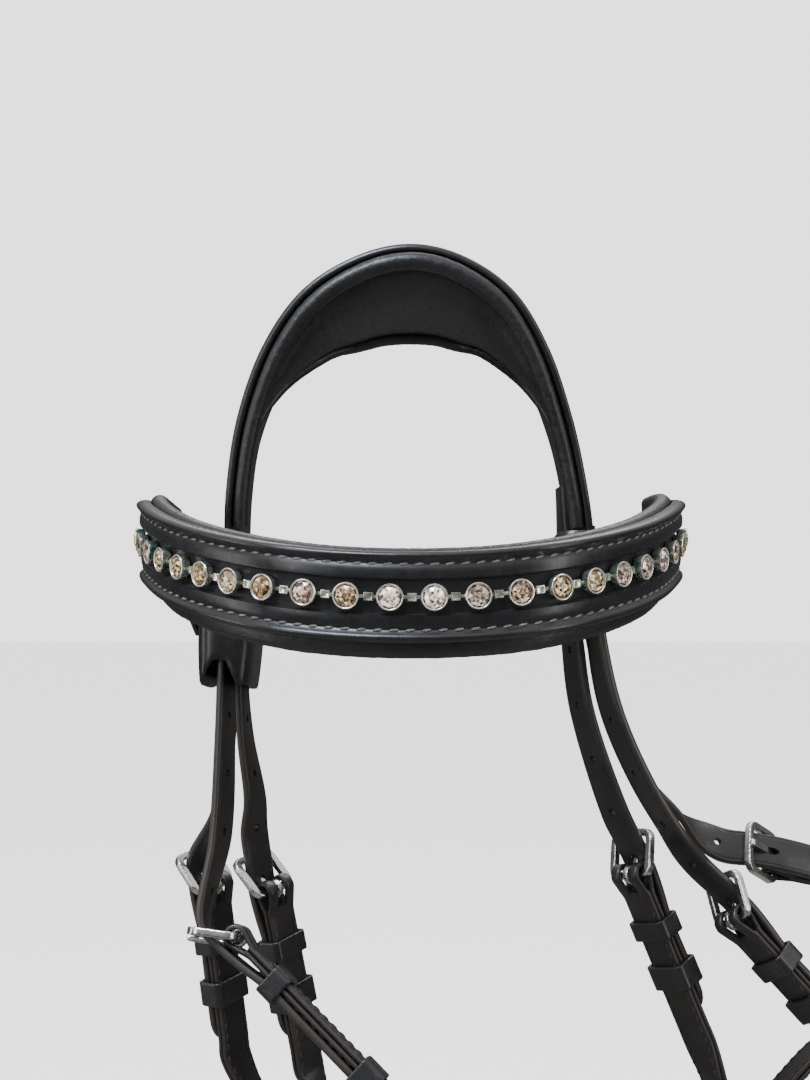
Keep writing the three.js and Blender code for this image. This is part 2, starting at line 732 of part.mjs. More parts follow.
put("headpiece", headpiece(), leather);
put("crown_padding", crownPadding(), lining);
put("noseband_billet_left", billet("noseband_left"), leather);
put("noseband_billet_right", billet("noseband_right"), leather);
put("browband_leather", browbandLeather(), leather);
put("browband_lining", sweep(bandFrames.slice(3, -3), () => BAND_LINING), lining);
put("browband_stone_chain", stoneChain(), setting);

put(
  "cheekpiece_left",
  cheekpiece("cheek_left", -1, 92, [
    [V(34, -74, -222), V(-0.5, -1, 0)],
    [V(48, -94, -250), V(-0.4, -1, 0)],
    [V(52, -104, -282), V(-0.3, -1, 0)],
  ]),
  leather,
);
put(
  "cheekpiece_right",
  cheekpiece("cheek_right", 1, 54, [
    [V(172, -32, -206), V(-0.6, 1, 0)],
    [V(181, -45, -242), V(-0.45, 1, 0)],
    [V(185.5, -57, -278), V(-0.35, 1, 0)],
  ]),
  leather,
);
put("hook_stud_left", hookStud(-1), steel);
put("hook_stud_right", hookStud(1), steel);

put("noseband_leather", nosebandLeather(), leather);
put("noseband_padding", nosebandPadding(), lining);
put(
  "noseband_hanger_left",
  noseHanger("noseband_left", -1, [
    [V(-34, 3, -200), V(-0.2, -1, 0)],
    [V(-29, 0, -230), V(-0.1, -1, 0)],
  ]),
  leather,
);
put(
  "noseband_hanger_right",
  noseHanger("noseband_right", 1, [
    [V(109, -1, -200), V(-0.4, 1, 0)],
    [V(115.5, -3, -232), V(-0.2, 1, 0)],
  ]),
  leather,
);
put("throatlash_strap", throatlashStrap(), leather);

for (const name of Object.keys(stations)) buckle(name);

put("bit_ring_left", bitRing(-1), steel);
put("bit_ring_right", bitRing(1), steel);
put("mouthpiece_left", mouthArm(-1), steel);
put("mouthpiece_right", mouthArm(1), steel);
put("mouthpiece_link", mouthLink(), steel);

export default bridle;
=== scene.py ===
# A snaffle bridle hanging from its crown. Millimetre figures are the bridle's own routes, drawn about the
# level of the browband; `placed` turns them into metres in the frame, whose origin is under the crown.
import math

import bpy
from mathutils import Matrix, Vector, noise


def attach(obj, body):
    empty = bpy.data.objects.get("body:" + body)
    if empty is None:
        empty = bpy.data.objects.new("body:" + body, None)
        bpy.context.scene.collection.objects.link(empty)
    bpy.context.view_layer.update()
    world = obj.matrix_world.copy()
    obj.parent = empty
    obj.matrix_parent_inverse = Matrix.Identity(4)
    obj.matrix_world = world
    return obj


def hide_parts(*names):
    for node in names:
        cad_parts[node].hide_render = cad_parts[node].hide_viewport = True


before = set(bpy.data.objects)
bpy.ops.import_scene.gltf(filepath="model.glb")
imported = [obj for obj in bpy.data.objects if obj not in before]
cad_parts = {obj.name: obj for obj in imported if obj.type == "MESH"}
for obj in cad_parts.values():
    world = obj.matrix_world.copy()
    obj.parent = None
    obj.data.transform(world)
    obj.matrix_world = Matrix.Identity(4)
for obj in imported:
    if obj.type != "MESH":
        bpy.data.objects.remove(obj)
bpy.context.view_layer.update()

MM = 0.001
CROWN_SEAT = 77.0
STRAP = 13.0  # width of every buckled strap
BILLET = 2.8  # thickness of a single strap
BILLET_LIFT = 3.9  # a buckled billet's middle above the strap it lies on
LAYER = 1.95  # each of the two layers of a folded strap
HEADPIECE = 3.0
NOSE_LEVEL = -277.0


def V(x, y, z):
    return Vector((x, y, z))


def placed(p):
    return Vector((p.x, p.y, p.z - CROWN_SEAT)) * MM


# ---- routes ----

NEARBY = 1e-4  # a step too short to matter on a route


def spline(points, t, centripetal):
    """A Catmull-Rom curve through the points, t from 0 to 1."""
    last = len(points) - 1
    p = last * min(max(t, 0.0), 1.0)
    i = min(int(p), last - 1)
    w = p - i
    p1, p2 = points[i], points[i + 1]
    p0 = points[i - 1] if i > 0 else 2 * points[0] - points[1]
    p3 = points[i + 2] if i + 2 <= last else 2 * points[last] - points[last - 1]
    if centripetal:
        d0, d1, d2 = ((b - a).length ** 0.5 for a, b in ((p0, p1), (p1, p2), (p2, p3)))
        d1 = max(d1, NEARBY)
        d0 = d0 if d0 > NEARBY else d1
        d2 = d2 if d2 > NEARBY else d1
        m1 = ((p1 - p0) / d0 - (p2 - p0) / (d0 + d1) + (p2 - p1) / d1) * d1
        m2 = ((p2 - p1) / d1 - (p3 - p1) / (d1 + d2) + (p3 - p2) / d2) * d1
    else:
        m1, m2 = (p2 - p0) / 2, (p3 - p1) / 2
    c2 = -3 * p1 + 3 * p2 - 2 * m1 - m2
    c3 = 2 * p1 - 2 * p2 + m1 + m2
    return p1 + m1 * w + c2 * w * w + c3 * w * w * w


class Stop:
    """One place on a route: how far along, where, the direction along, across and outwards."""

    def __init__(self, t, at, along, side):
        self.t, self.at, self.along = t, at, along
        self.side = (side - along * side.dot(along)).normalized()
        self.out = along.cross(self.side)
        self.far = 0.0

    def point(self, across, outwards):
        return self.at + self.side * across + self.out * outwards


def route(stops, per_span):
    """Stops along a smooth curve through (place, direction across) pairs."""
    points, widths = [s[0] for s in stops], [s[1] for s in stops]
    count = (len(stops) - 1) * per_span
    made = []
    for i in range(count + 1):
        t = i / count
        ahead = spline(points, min(1, t + NEARBY), True)
        behind = spline(points, max(0, t - NEARBY), True)
        along = (ahead - behind).normalized()
        made.append(Stop(t, spline(points, t, True), along, spline(widths, t, False)))
    for a, b in zip(made, made[1:]):
        b.far = a.far + (b.at - a.at).length
    return made


def way(*rows):
    """A strap's (place, direction across) pairs, from rows of six numbers."""
    return [(V(*row[:3]), V(*row[3:])) for row in rows]


def at_distance(stops, far):
    for a, b in zip(stops, stops[1:]):
        if b.far >= far:
            w = (far - a.far) / max(1e-6, b.far - a.far)
            along, side = a.along.lerp(b.along, w).normalized(), a.side.lerp(b.side, w)
            made = Stop(a.t + (b.t - a.t) * w, a.at.lerp(b.at, w), along, side)
            made.far = far
            return made
    return stops[-1]


def between(values):
    """A value that runs evenly through the list as t goes from 0 to 1."""

    def value(t):
        x = min(max(t, 0.0), 1.0) * (len(values) - 1)
        i = min(int(x), len(values) - 2)
        return values[i] + (values[i + 1] - values[i]) * (x - i)

    return value


def eased(values):
    """A value that runs smoothly through the list as t goes from 0 to 1."""
    return lambda t: spline(values, t, False)


# ---- meshes ----


def new_piece(name, vertices, faces, slot, material, uv=None, smooth=40):
    mesh = bpy.data.meshes.new(name)
    mesh.from_pydata([placed(v) for v in vertices], [], faces)
    if uv:
        layer = mesh.uv_layers.new(name="strap")
        for loop in mesh.loops:
            layer.data[loop.index].uv = uv[loop.vertex_index]
    piece = bpy.data.objects.new(name, mesh)
    bpy.context.collection.objects.link(piece)
    mesh.validate()
    finish_piece(piece, material, smooth)
    return piece


def only(piece):
    bpy.ops.object.select_all(action="DESELECT")
    bpy.context.view_layer.objects.active = piece
    piece.select_set(True)


def outwards(piece):
    """Turns a closed shape's faces to point out."""
    only(piece)
    bpy.ops.object.mode_set(mode="EDIT")
    bpy.ops.mesh.select_all(action="SELECT")
    bpy.ops.mesh.normals_make_consistent(inside=False)
    bpy.ops.object.mode_set(mode="OBJECT")


def finish_piece(piece, material, smooth=40):
    outwards(piece)
    bpy.ops.object.shade_smooth_by_angle(angle=math.radians(smooth))
    piece.data.materials.clear()
    piece.data.materials.append(material)


def tube_faces(rings, n, first=0):
    """Walls and end caps of one closed tube of `rings` sections of n points."""
    faces = []
    for i in range(rings - 1):
        for k in range(n):
            a, b = first + i * n + k, first + i * n + (k + 1) % n
            faces.append((a, b, b + n, a + n))
    faces.append(tuple(first + k for k in reversed(range(n))))
    faces.append(tuple(first + (rings - 1) * n + k for k in range(n)))
    return faces


def swept(name, parts, slot, material, body, smooth=40):
    """One piece of closed tubes, from (stops, section) parts. A section gives a stop's ring of points."""
    vertices, faces, uv = [], [], []
    for stops, section in parts:
        first = len(vertices)
        for stop in stops:
            ring = section(stop)
            vertices += [stop.point(a, b) for a, b in ring]
            uv += [(stop.far * MM, a * MM) for a, b in ring]
        faces += tube_faces(len(stops), len(ring), first)
    piece = new_piece(name, vertices, faces, slot, material, uv, smooth)
    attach(piece, body)
    return piece


CROWNED = 0.12  # how far the middle of a strap's face stands above its edges


def rounded(width, low, high, corner):
    """A strap's section with worn, rounded edges and a slightly crowned face."""
    w, r = width / 2, min(corner, (high - low) / 2 - 0.02)
    points = []
    corners = ((w - r, low + r), (w - r, high - r), (-w + r, high - r), (-w + r, low + r))
    for (cx, cy), start in zip(corners, (-90, 0, 90, 180)):
        for step in range(4):
            angle = math.radians(start + 30 * step)
            points.append((cx + r * math.cos(angle), cy + r * math.sin(angle)))
    points.insert(8, (0.0, high + CROWNED))
    return points


def strap_section(width=STRAP, thick=BILLET, tip=None, middle=0.0, buried=0.0):
    """A single strap. `tip` is its length and how much of that narrows to a blunt point; its first `buried`
    millimetres are skived thin."""

    def section(stop):
        w = width
        if stop.far < buried:
            return rounded(w - 0.4, -1.0, 1.0, 0.9)
        if tip and stop.far > tip[0] - tip[1]:
            past = (stop.far - tip[0] + tip[1]) / tip[1]
            w = width * max(0.3, math.sqrt(max(0.0, 1 - past**2)))
        return rounded(w, middle - thick / 2, middle + thick / 2, 1.0)

    return section


# ---- materials ----


def linear(colour):
    """An sRGB hex colour as linear red, green, blue and alpha."""
    channels = [int(colour[i : i + 2], 16) / 255 for i in (1, 3, 5)]
    return [c / 12.92 if c <= 0.04045 else ((c + 0.055) / 1.055) ** 2.4 for c in channels] + [1.0]


def give(tree, made, inputs):
    """Gives a node's inputs their values or links."""
    for key, value in inputs.items():
        if isinstance(value, bpy.types.NodeSocket):
            tree.links.new(value, made.inputs[key])
        else:
            made.inputs[key].default_value = value


def node(tree, kind, settings=None, inputs=None, stops=()):
    """Adds a node, with its settings, its inputs as values or links, and a colour ramp's stops."""
    made = tree.nodes.new(kind)
    for key, value in (settings or {}).items():
        setattr(made, key, value)
    for i, (position, colour) in enumerate(stops):
        elements = made.color_ramp.elements
        element = elements[i] if i < 2 else elements.new(position)
        element.position = position
        element.color = linear(colour)
    give(tree, made, inputs or {})
    return made


HANDLED = 28.0  # size of the patches that handling leaves
CREASE_LINE = 5.1  # from a strap's middle to the line creased along each edge
RUBBED = (5.7, 6.5)  # where the rubbed edge starts, and where it is fully rubbed
SMEAR = 6.0  # size of the duller smears on steel


def blank(name):
    """A new material, its node tree, its shader, and the place on the object that its patterns start from."""
    material = bpy.data.materials.new(name)
    material.use_nodes = True
    tree = material.node_tree
    shader = tree.nodes["Principled BSDF"]
    place = node(tree, "ShaderNodeTexCoord").outputs["Object"]
    return material, tree, shader, place


def from_middle(tree):
    """How far a place is from the middle line of its strap, in metres."""
    uv = node(tree, "ShaderNodeUVMap", {"uv_map": "strap"})
    across = node(tree, "ShaderNodeSeparateXYZ", inputs={0: uv.outputs[0]})
    return node(tree, "ShaderNodeMath", {"operation": "ABSOLUTE"}, {0: across.outputs["Y"]}).outputs[0]


def leather(name, dark, light, roughness, pore, crease, depth, edge=None, channel=0.0):
    """Vegetable-tanned black leather: pores and longer creases of these sizes in millimetres, and a waxed
    sheen that varies. A strap with an `edge` colour has a line creased inside each edge, outside which the
    black is rubbed. The browband's `channel` is this far to each side, and its leather is bare and matt."""
    material, tree, shader, place = blank(name)
    grain = {"Vector": place, "Scale": 1 / (pore * MM)}
    lines = {"Vector": place, "Scale": 1 / (crease * MM), "Detail": 5.0, "Roughness": 0.62}
    handling = {"Vector": place, "Scale": 1 / (HANDLED * MM), "Detail": 4.0, "Roughness": 0.6}
    pores = node(tree, "ShaderNodeTexVoronoi", {"feature": "F1"}, grain).outputs["Distance"]
    creases = node(tree, "ShaderNodeTexNoise", inputs=lines).outputs["Fac"]
    wear = node(tree, "ShaderNodeTexNoise", inputs=handling).outputs["Fac"]
    shades = [(0.32, dark), (0.72, light)]
    colour = node(tree, "ShaderNodeValToRGB", inputs={"Fac": wear}, stops=shades).outputs["Color"]
    sheen = {"Value": creases, "From Min": 0.3, "From Max": 0.7}
    sheen.update({"To Min": roughness - 0.07, "To Max": roughness + 0.1})
    rough = node(tree, "ShaderNodeMapRange", inputs=sheen).outputs[0]
    relief = {0: pores, 1: -0.16, 2: creases}
    height = node(tree, "ShaderNodeMath", {"operation": "MULTIPLY_ADD"}, relief).outputs[0]
    if edge:
        out = from_middle(tree)
        line = {0: out, 1: CREASE_LINE * MM}
        to_line = node(tree, "ShaderNodeMath", {"operation": "SUBTRACT"}, line).outputs[0]
        off_line = node(tree, "ShaderNodeMath", {"operation": "ABSOLUTE"}, {0: to_line}).outputs[0]
        pressed = {"Value": off_line, "From Max": 0.45 * MM, "To Min": -2.6, "To Max": 0.0}
        groove = node(tree, "ShaderNodeMapRange", inputs=pressed).outputs[0]
        height = node(tree, "ShaderNodeMath", inputs={0: height, 1: groove}).outputs[0]
        rub = {"Value": out, "From Min": RUBBED[0] * MM, "From Max": RUBBED[1] * MM, "To Max": 0.7}
        rubbed = node(tree, "ShaderNodeMapRange", inputs=rub).outputs[0]
        inputs = {"Factor": rubbed, "A": colour, "B": linear(edge)}
        colour = node(tree, "ShaderNodeMix", {"data_type": "RGBA"}, inputs).outputs["Result"]
    if channel:
        edges = {"From Min": (channel + 0.15) * MM, "From Max": channel * MM}
        inputs = {"Value": from_middle(tree), "To Max": 0.9, **edges}
        bare = node(tree, "ShaderNodeMapRange", inputs=inputs).outputs[0]
        rough = node(tree, "ShaderNodeMath", {"operation": "MAXIMUM"}, {0: bare, 1: rough}).outputs[0]
    surface = {"Height": height, "Strength": 0.55, "Distance": depth * MM}
    normal = node(tree, "ShaderNodeBump", inputs=surface).outputs[0]
    give(tree, shader, {"Base Color": colour, "Roughness": rough, "Normal": normal})
    give(tree, shader, {"IOR": 1.5, "Coat Weight": 0.2, "Coat Roughness": 0.28})
    return material


def metal(name, colour, roughness, brush):
    """Polished stainless steel with hairline polishing marks about a fifth of a millimetre apart."""
    material, tree, shader, place = blank(name)
    hairlines = {"Vector": place, "Scale": 1 / (brush * MM), "Detail": 3.0}
    smears = {"Vector": place, "Scale": 1 / (SMEAR * MM), "Detail": 3.0}
    marks = node(tree, "ShaderNodeTexNoise", inputs=hairlines).outputs["Fac"]
    smear = node(tree, "ShaderNodeTexNoise", inputs=smears).outputs["Fac"]
    dulled = {"Value": smear, "From Min": 0.35, "From Max": 0.7}
    dulled.update({"To Min": roughness, "To Max": roughness + 0.1})
    rough = node(tree, "ShaderNodeMapRange", inputs=dulled).outputs[0]
    surface = {"Height": marks, "Strength": 0.06, "Distance": 0.03 * MM}
    normal = node(tree, "ShaderNodeBump", inputs=surface).outputs[0]
    give(tree, shader, {"Base Color": linear(colour), "Metallic": 1.0})
    give(tree, shader, {"Roughness": rough, "Normal": normal})
    return material


def tarnished_silver():
    """Silver-plated brass: bright on the rim, darker and teal low on the wall towards the channel, with teal
    and brown tarnish in patches.
    """
    material, tree, shader, place = blank("tarnished_silver_plate")
    blotches = {"Vector": place, "Scale": 1 / (2.6 * MM), "Detail": 4.0, "Roughness": 0.65}
    patches = node(tree, "ShaderNodeTexNoise", inputs=blotches).outputs["Fac"]
    low = node(tree, "ShaderNodeAttribute", {"attribute_name": "shade"}).outputs["Fac"]
    both = {0: low, 1: 0.34, 2: patches}
    clean = node(tree, "ShaderNodeMath", {"operation": "MULTIPLY_ADD"}, both).outputs[0]
    tarnish = [(0.4, "#1d1712"), (0.54, "#27675c"), (0.66, "#a2a896"), (0.8, "#eeebe0")]
    colour = node(tree, "ShaderNodeValToRGB", inputs={"Fac": clean}, stops=tarnish).outputs["Color"]
    dulled = {"Value": clean, "From Min": 0.5, "From Max": 0.75, "To Min": 0.45, "To Max": 0.16}
    rough = node(tree, "ShaderNodeMapRange", inputs=dulled).outputs[0]
    give(tree, shader, {"Base Color": colour, "Roughness": rough, "Metallic": 0.92})
    return material


def foiled_crystal():
    """Cut glass over foil, its reflections painted: each facet is given its own light or dark shade, tinted
    champagne, pink or clear.
    """
    material, tree, shader, place = blank("foiled_cut_crystal")
    facet = node(tree, "ShaderNodeAttribute", {"attribute_name": "shade"}).outputs["Fac"]
    tint = node(tree, "ShaderNodeAttribute", {"attribute_name": "tint"}).outputs["Fac"]
    # painted reflections: the shades, from dark to white, that the facets are given
    lights = [(0.0, "#2c241d"), (0.4, "#70665a"), (0.65, "#aca394"), (0.92, "#ffffff")]
    tints = [(0.0, "#cfa873"), (0.35, "#e6d3ab"), (0.6, "#e8cfc8"), (1.0, "#ffffff")]
    light = node(tree, "ShaderNodeValToRGB", inputs={"Fac": facet}, stops=lights).outputs["Color"]
    glass = node(tree, "ShaderNodeValToRGB", inputs={"Fac": tint}, stops=tints).outputs["Color"]
    multiply = {"data_type": "RGBA", "blend_type": "MULTIPLY"}
    both = node(tree, "ShaderNodeMix", multiply, {"Factor": 1.0, "A": light, "B": glass})
    give(tree, shader, {"Base Color": both.outputs["Result"], "Metallic": 0.35, "Roughness": 0.07})
    give(tree, shader, {"Coat Weight": 1.0, "Coat Roughness": 0.02})
    return material


def waxed_thread(name, dark, light):
    """Waxed linen thread with its twist, drawn 0.5 mm long so that it shows."""
    material, tree, shader, place = blank(name)
    ply = {"Vector": place, "Scale": 1 / (0.5 * MM), "Detail": 2.0}
    twist = node(tree, "ShaderNodeTexNoise", inputs=ply).outputs["Fac"]
    shades = [(0.35, dark), (0.7, light)]
    colour = node(tree, "ShaderNodeValToRGB", inputs={"Fac": twist}, stops=shades).outputs["Color"]
    give(tree, shader, {"Base Color": colour, "Roughness": 0.65})
    return material


# near black with a soft waxed shine: the crown, the loops, the keepers and the noseband
bridle_leather = leather("waxed_bridle_leather", "#0b0b0c", "#151517", 0.31, 0.55, 3.0, 0.12)
# the same, polished on its rails and matt in the channel that the stones lie in
band_leather = leather(
    "browband_bridle_leather", "#08080a", "#131315", 0.3, 0.55, 3.0, 0.12, channel=4.9
)
# duller and slightly brown from handling, with a creased line and worn edges: every buckled strap
strap_leather = leather("handled_strap_leather", "#0b0908", "#171411", 0.38, 0.5, 2.4, 0.12, "#221b16")
# soft, matt and wrinkled: the padding
lining_leather = leather("soft_nappa_lining", "#09090a", "#121214", 0.38, 0.8, 1.9, 0.55)
# bright and slightly warm: buckles and studs
polished_steel = metal("polished_stainless_steel", "#dedcd7", 0.16, 0.22)
# a little greyer: the bit
bit_steel = metal("bit_stainless_steel", "#c8c7c3", 0.14, 0.3)
# the stones' cups and links, and the stones
silver_plate, crystal = tarnished_silver(), foiled_crystal()
# grey against the browband, nearly black on the straps
grey_thread = waxed_thread("waxed_linen_thread", "#37332f", "#5d5751")
dark_thread = waxed_thread("black_waxed_thread", "#100f0e", "#201e1c")

# ---- buckle stations ----


class Station:
    """Where two straps are buckled. u runs down the lower strap, n points outwards, v across."""

    def __init__(self, at, along, outward, twist):
        self.at = at
        self.u = along.normalized()
        flat = (outward - self.u * outward.dot(self.u)).normalized()
        self.n = Matrix.Rotation(math.radians(twist), 3, self.u) @ flat
        self.v = self.n.cross(self.u)

    def point(self, down, outwards, across=0.0):
        return self.at + self.u * down + self.n * outwards + self.v * across


stations = {
    "cheek_left": Station(V(-58.3, -30, -139), V(0.72, -0.26, -0.64), V(-0.5, 0, -0.86), -14),
    "noseband_left": Station(V(-49, 4, -131), V(0.19, 0, -0.98), V(-1, 0, 0), 36),
    "throatlash_left": Station(V(-72.5, 17, -133), V(0.12, 0.04, -0.99), V(-1, 0, 0), 36),
    "noseband_right": Station(V(79, 0, -125), V(0.38, 0, -0.92), V(1, 0, 0), -40),
    "cheek_right": Station(V(113, -12, -138), V(0.67, -0.1, -0.73), V(0.8, 0, 0.6), -36),
    "throatlash_right": Station(V(135, 20, -124), V(0.97, 0.02, -0.2), V(0.2, 0, 1), 56),
    "chin": Station(V(6, 41, -277), V(-0.62, -0.78, 0), V(-0.78, 0.62, 0), 0),
}

# how a billet comes into its buckle: distance down the lower strap, and above it
BILLET_WAY = [(-22, 4.4), (-11, 5.3), (0, 6.0), (9, 5.2), (18, 3.9), (34, 3.9)]

HOLE, HOLE_PITCH = 1.35, 20  # a punched hole's radius, and the distance between holes
TONGUE_SLOT = 2.3  # how many times longer than a hole the tongue's slot is
TIP = 9  # how much of a strap's end narrows

# each billet's way down to its buckle, where it joins BILLET_WAY, and how far past the buckle it ends
BILLETS = {
    "cheek_right": (
        way(
            (62.8, -6.9, 0, -0.12, 1, 0), (63.8, -6.9, -16, -0.18, 1, 0),
            (65.2, -8.5, -38, -0.3, 1, 0), (70, -11.5, -64, -0.45, 1, -0.1),
            (80, -12.5, -88, -0.45, 1, -0.2), (91, -12.5, -106.5, -0.4, 1, -0.3),
        ),
        0,
        62,
    ),
    "throatlash_right": (
        way(
            (60.6, 6.9, 0, -0.12, 1, 0), (61.6, 6.9, -16, -0.14, 1, 0),
            (66, 9, -40, -0.1, 1, 0), (73, 13.5, -66, -0.1, 1, 0),
            (84, 17, -90, -0.1, 1, 0), (97, 19, -105, -0.2, 1, 0),
        ),
        0,
        50,
    ),
    "noseband_right": (
        way(
            (54.6, 6, 14, -0.05, 1, 0), (55, 5.5, 6, -0.08, 1, 0),
            (56, 4.5, -14, -0.22, 1, 0), (58.2, 3.8, -40, -0.42, 1, 0),
            (61.6, 2.7, -66, -0.55, 1, 0),
        ),
        0,
        54,
    ),
    "cheek_left": (
        way(
            (-62.8, -6.9, 0, -0.12, -1, 0), (-63.8, -6.9, -16, -0.15, -1, 0),
            (-64.6, -9, -40, -0.2, -1, 0), (-64.6, -14, -72, -0.3, -1, 0),
            (-65.5, -20, -107, -0.4, -1, 0),
        ),
        1,
        80,
    ),
    "throatlash_left": (
        way(
            (-60.6, 6.9, 0, -0.12, -1, 0), (-61.6, 6.9, -16, -0.15, -1, 0),
            (-64, 7.5, -42, -0.1, -1, 0), (-66.4, 12, -74, -0.15, -1, 0),
            (-70.5, 16, -104, -0.2, -1, 0),
        ),
        1,
        58,
    ),
    "noseband_left": (
        way(
            (-56, 5.2, -5, -0.1, -1, 0), (-57.4, 4.5, -14, -0.16, -1, 0),
            (-59.2, 4.5, -30, -0.16, -1, 0), (-61, 5, -52, -0.1, -1, 0),
            (-59.6, 4.5, -76, -0.2, -1, 0), (-56.2, 4, -98, -0.42, -1, 0),
        ),
        0,
        54,
    ),
}


def billet_stops(station, start, lead, length):
    through = BILLET_WAY[lead:] + [(length, BILLET_LIFT)]
    return route(start + [(station.point(a, b), station.v) for a, b in through], 10)


def punched(piece, stops, distances, slot):
    """Cuts a row of round holes through a strap, and the slot that the buckle's tongue goes through."""
    cutters = []
    for far in distances + [slot]:
        stop = at_distance(stops, far)
        bpy.ops.object.select_all(action="DESELECT")
        bpy.ops.mesh.primitive_cylinder_add(vertices=16, radius=HOLE * MM, depth=8 * MM)
        tool = bpy.context.object
        if far == slot:
            tool.data.transform(Matrix.Diagonal((TONGUE_SLOT, 1.0, 1.0, 1.0)))
        turn = Matrix((stop.along, stop.side, stop.out)).transposed().to_4x4()
        tool.data.transform(Matrix.Translation(placed(stop.at)) @ turn)
        cutters.append(tool)
    bpy.ops.object.select_all(action="DESELECT")
    for tool in cutters:
        tool.select_set(True)
    bpy.context.view_layer.objects.active = cutters[0]
    bpy.ops.object.join()
    tools = bpy.context.object
    outwards(tools)
    only(piece)
    cut = piece.modifiers.new("holes", "BOOLEAN")
    cut.operation = "DIFFERENCE"
    cut.object = tools
    cut.solver = "EXACT"
    bpy.ops.object.modifier_apply(modifier=cut.name)
    bpy.data.objects.remove(tools)
    bpy.ops.object.shade_smooth_by_angle(angle=math.radians(40))


def make_billet(name, cad_node):
    start, lead, length = BILLETS[name]
    station = stations[name]
    stops = billet_stops(station, start, lead, length)
    total = stops[-1].far
    section = strap_section(tip=(total, TIP), buried=0.0 if cad_node else 12.0)
    piece = swept(f"{name}_billet", [(stops, section)], "bridle_leather", strap_leather, "straps")
    # the tongue goes through 3 mm above the bar; the other holes follow at a strap maker's pitch
    through = min(stops, key=lambda s: (s.at - station.point(-3.4, 6.0)).length).far
    holes = [through + HOLE_PITCH * k for k in range(-4, 5) if k]
    punched(piece, stops, [far for far in holes if 30 < far < total - 12], through)
    if cad_node:
        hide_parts(cad_node)


# a strap's way round its buckle's bar, from one face to the other
FOLD_RADIUS = 3.4
FOLD_WAY = [(14, 1.05), (8, 1.15), (4.6, 2.1)]
for degrees in (58, 95, 135, 180, 225, 265, 302):
    turn = math.radians(degrees)
    FOLD_WAY.append((FOLD_RADIUS * math.cos(turn), FOLD_RADIUS * math.sin(turn)))
FOLD_WAY += [(4.6, -2.1), (8, -1.15), (14, -1.05)]


def fold_parts(station):
    """The two narrow bands that turn round the buckle's bar, one each side of the tongue."""
    parts = []
    for side in (-4.35, 4.35):
        stops = route([(station.point(a, b, side), station.v) for a, b in FOLD_WAY], 4)
        parts.append((stops, strap_section(width=4.2, thick=LAYER - 0.1)))
    return parts


def folded(stops):
    """Two stitched layers with their seam line between them."""
    return [(stops, strap_section(STRAP, LAYER, middle=m)) for m in (1.03, -1.03)]


def carrying_strap(name, parts, cad_nodes, body="straps", material=strap_leather):
    """A piece that stands for CAD nodes, swept from several parts."""
    piece = swept(name, parts, "bridle_leather", material, body)
    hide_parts(*cad_nodes)


def straight_away(station, to):
    """The lower strap's start, flat under its buckle."""
    return [(station.point(a, 0), station.v) for a in (6, 20, to - 10, to)]


# ---- crown ----

# the crown's front and back edge from its top down its right side
CROWN_EDGES = [
    (V(0, -21, 96), V(0, 23, 78)),
    (V(19, -20, 91.5), V(17, 23, 76)),
    (V(35, -19, 81), V(32, 21, 69)),
    (V(48, -17, 62), V(46, 18, 52)),
    (V(57, -15, 38), V(54, 15, 32)),
    (V(62, -14, 12), V(58, 14, 10)),
    (V(64, -13.5, -14), V(60, 13.5, -14)),
]
# how far each of those leans to the left on both sides, as it hangs
CROWN_LEAN = [0, 0.4, 1.1, 1.9, 2.1, 1.3, 0]


def crown_stops():
    """Middle, direction across and width, from the left side over the top to the right."""
    half = list(zip(CROWN_EDGES, CROWN_LEAN))
    left, right = (
        [[V(sign * p.x - lean, p.y, p.z) for p in edge] for edge, lean in half] for sign in (-1, 1)
    )
    pairs = left[:0:-1] + right
    return [((front + back) / 2, back - front, (back - front).length) for front, back in pairs]


crown = crown_stops()
crown_width = eased([c[2] for c in crown])
crown_route = route([(c[0], c[1]) for c in crown], 24)


def headpiece_section(stop):
    return rounded(crown_width(stop.t), -HEADPIECE / 2, HEADPIECE / 2, 1.2)


# the crown pad from end to end: how far back it reaches, its thickness and its front roll's radius
PAD_BACK = eased([0.04, 0.1, 0.42, 0.82, 1, 1, 1, 1, 1, 0.82, 0.42, 0.1, 0.04])
PAD_SWELL = eased([4, 4.6, 6.4, 8.3, 9.4, 10, 10, 10, 9.4, 8.3, 6.4, 4.6, 4])
PAD_ROLL = eased([2.5, 2.6, 2.8, 3.0, 3.2, 3.2, 3.2, 3.2, 3.2, 3.0, 2.8, 2.6, 2.5])


def pucker(far, across, seed=0.0):
    """Small wrinkles that run across a soft roll, a couple of millimetres apart."""
    long = noise.noise(V(far * 0.45, across * 0.1, seed))
    return long + 0.5 * noise.noise(V(far * 0.95, across * 0.2, seed + 5))


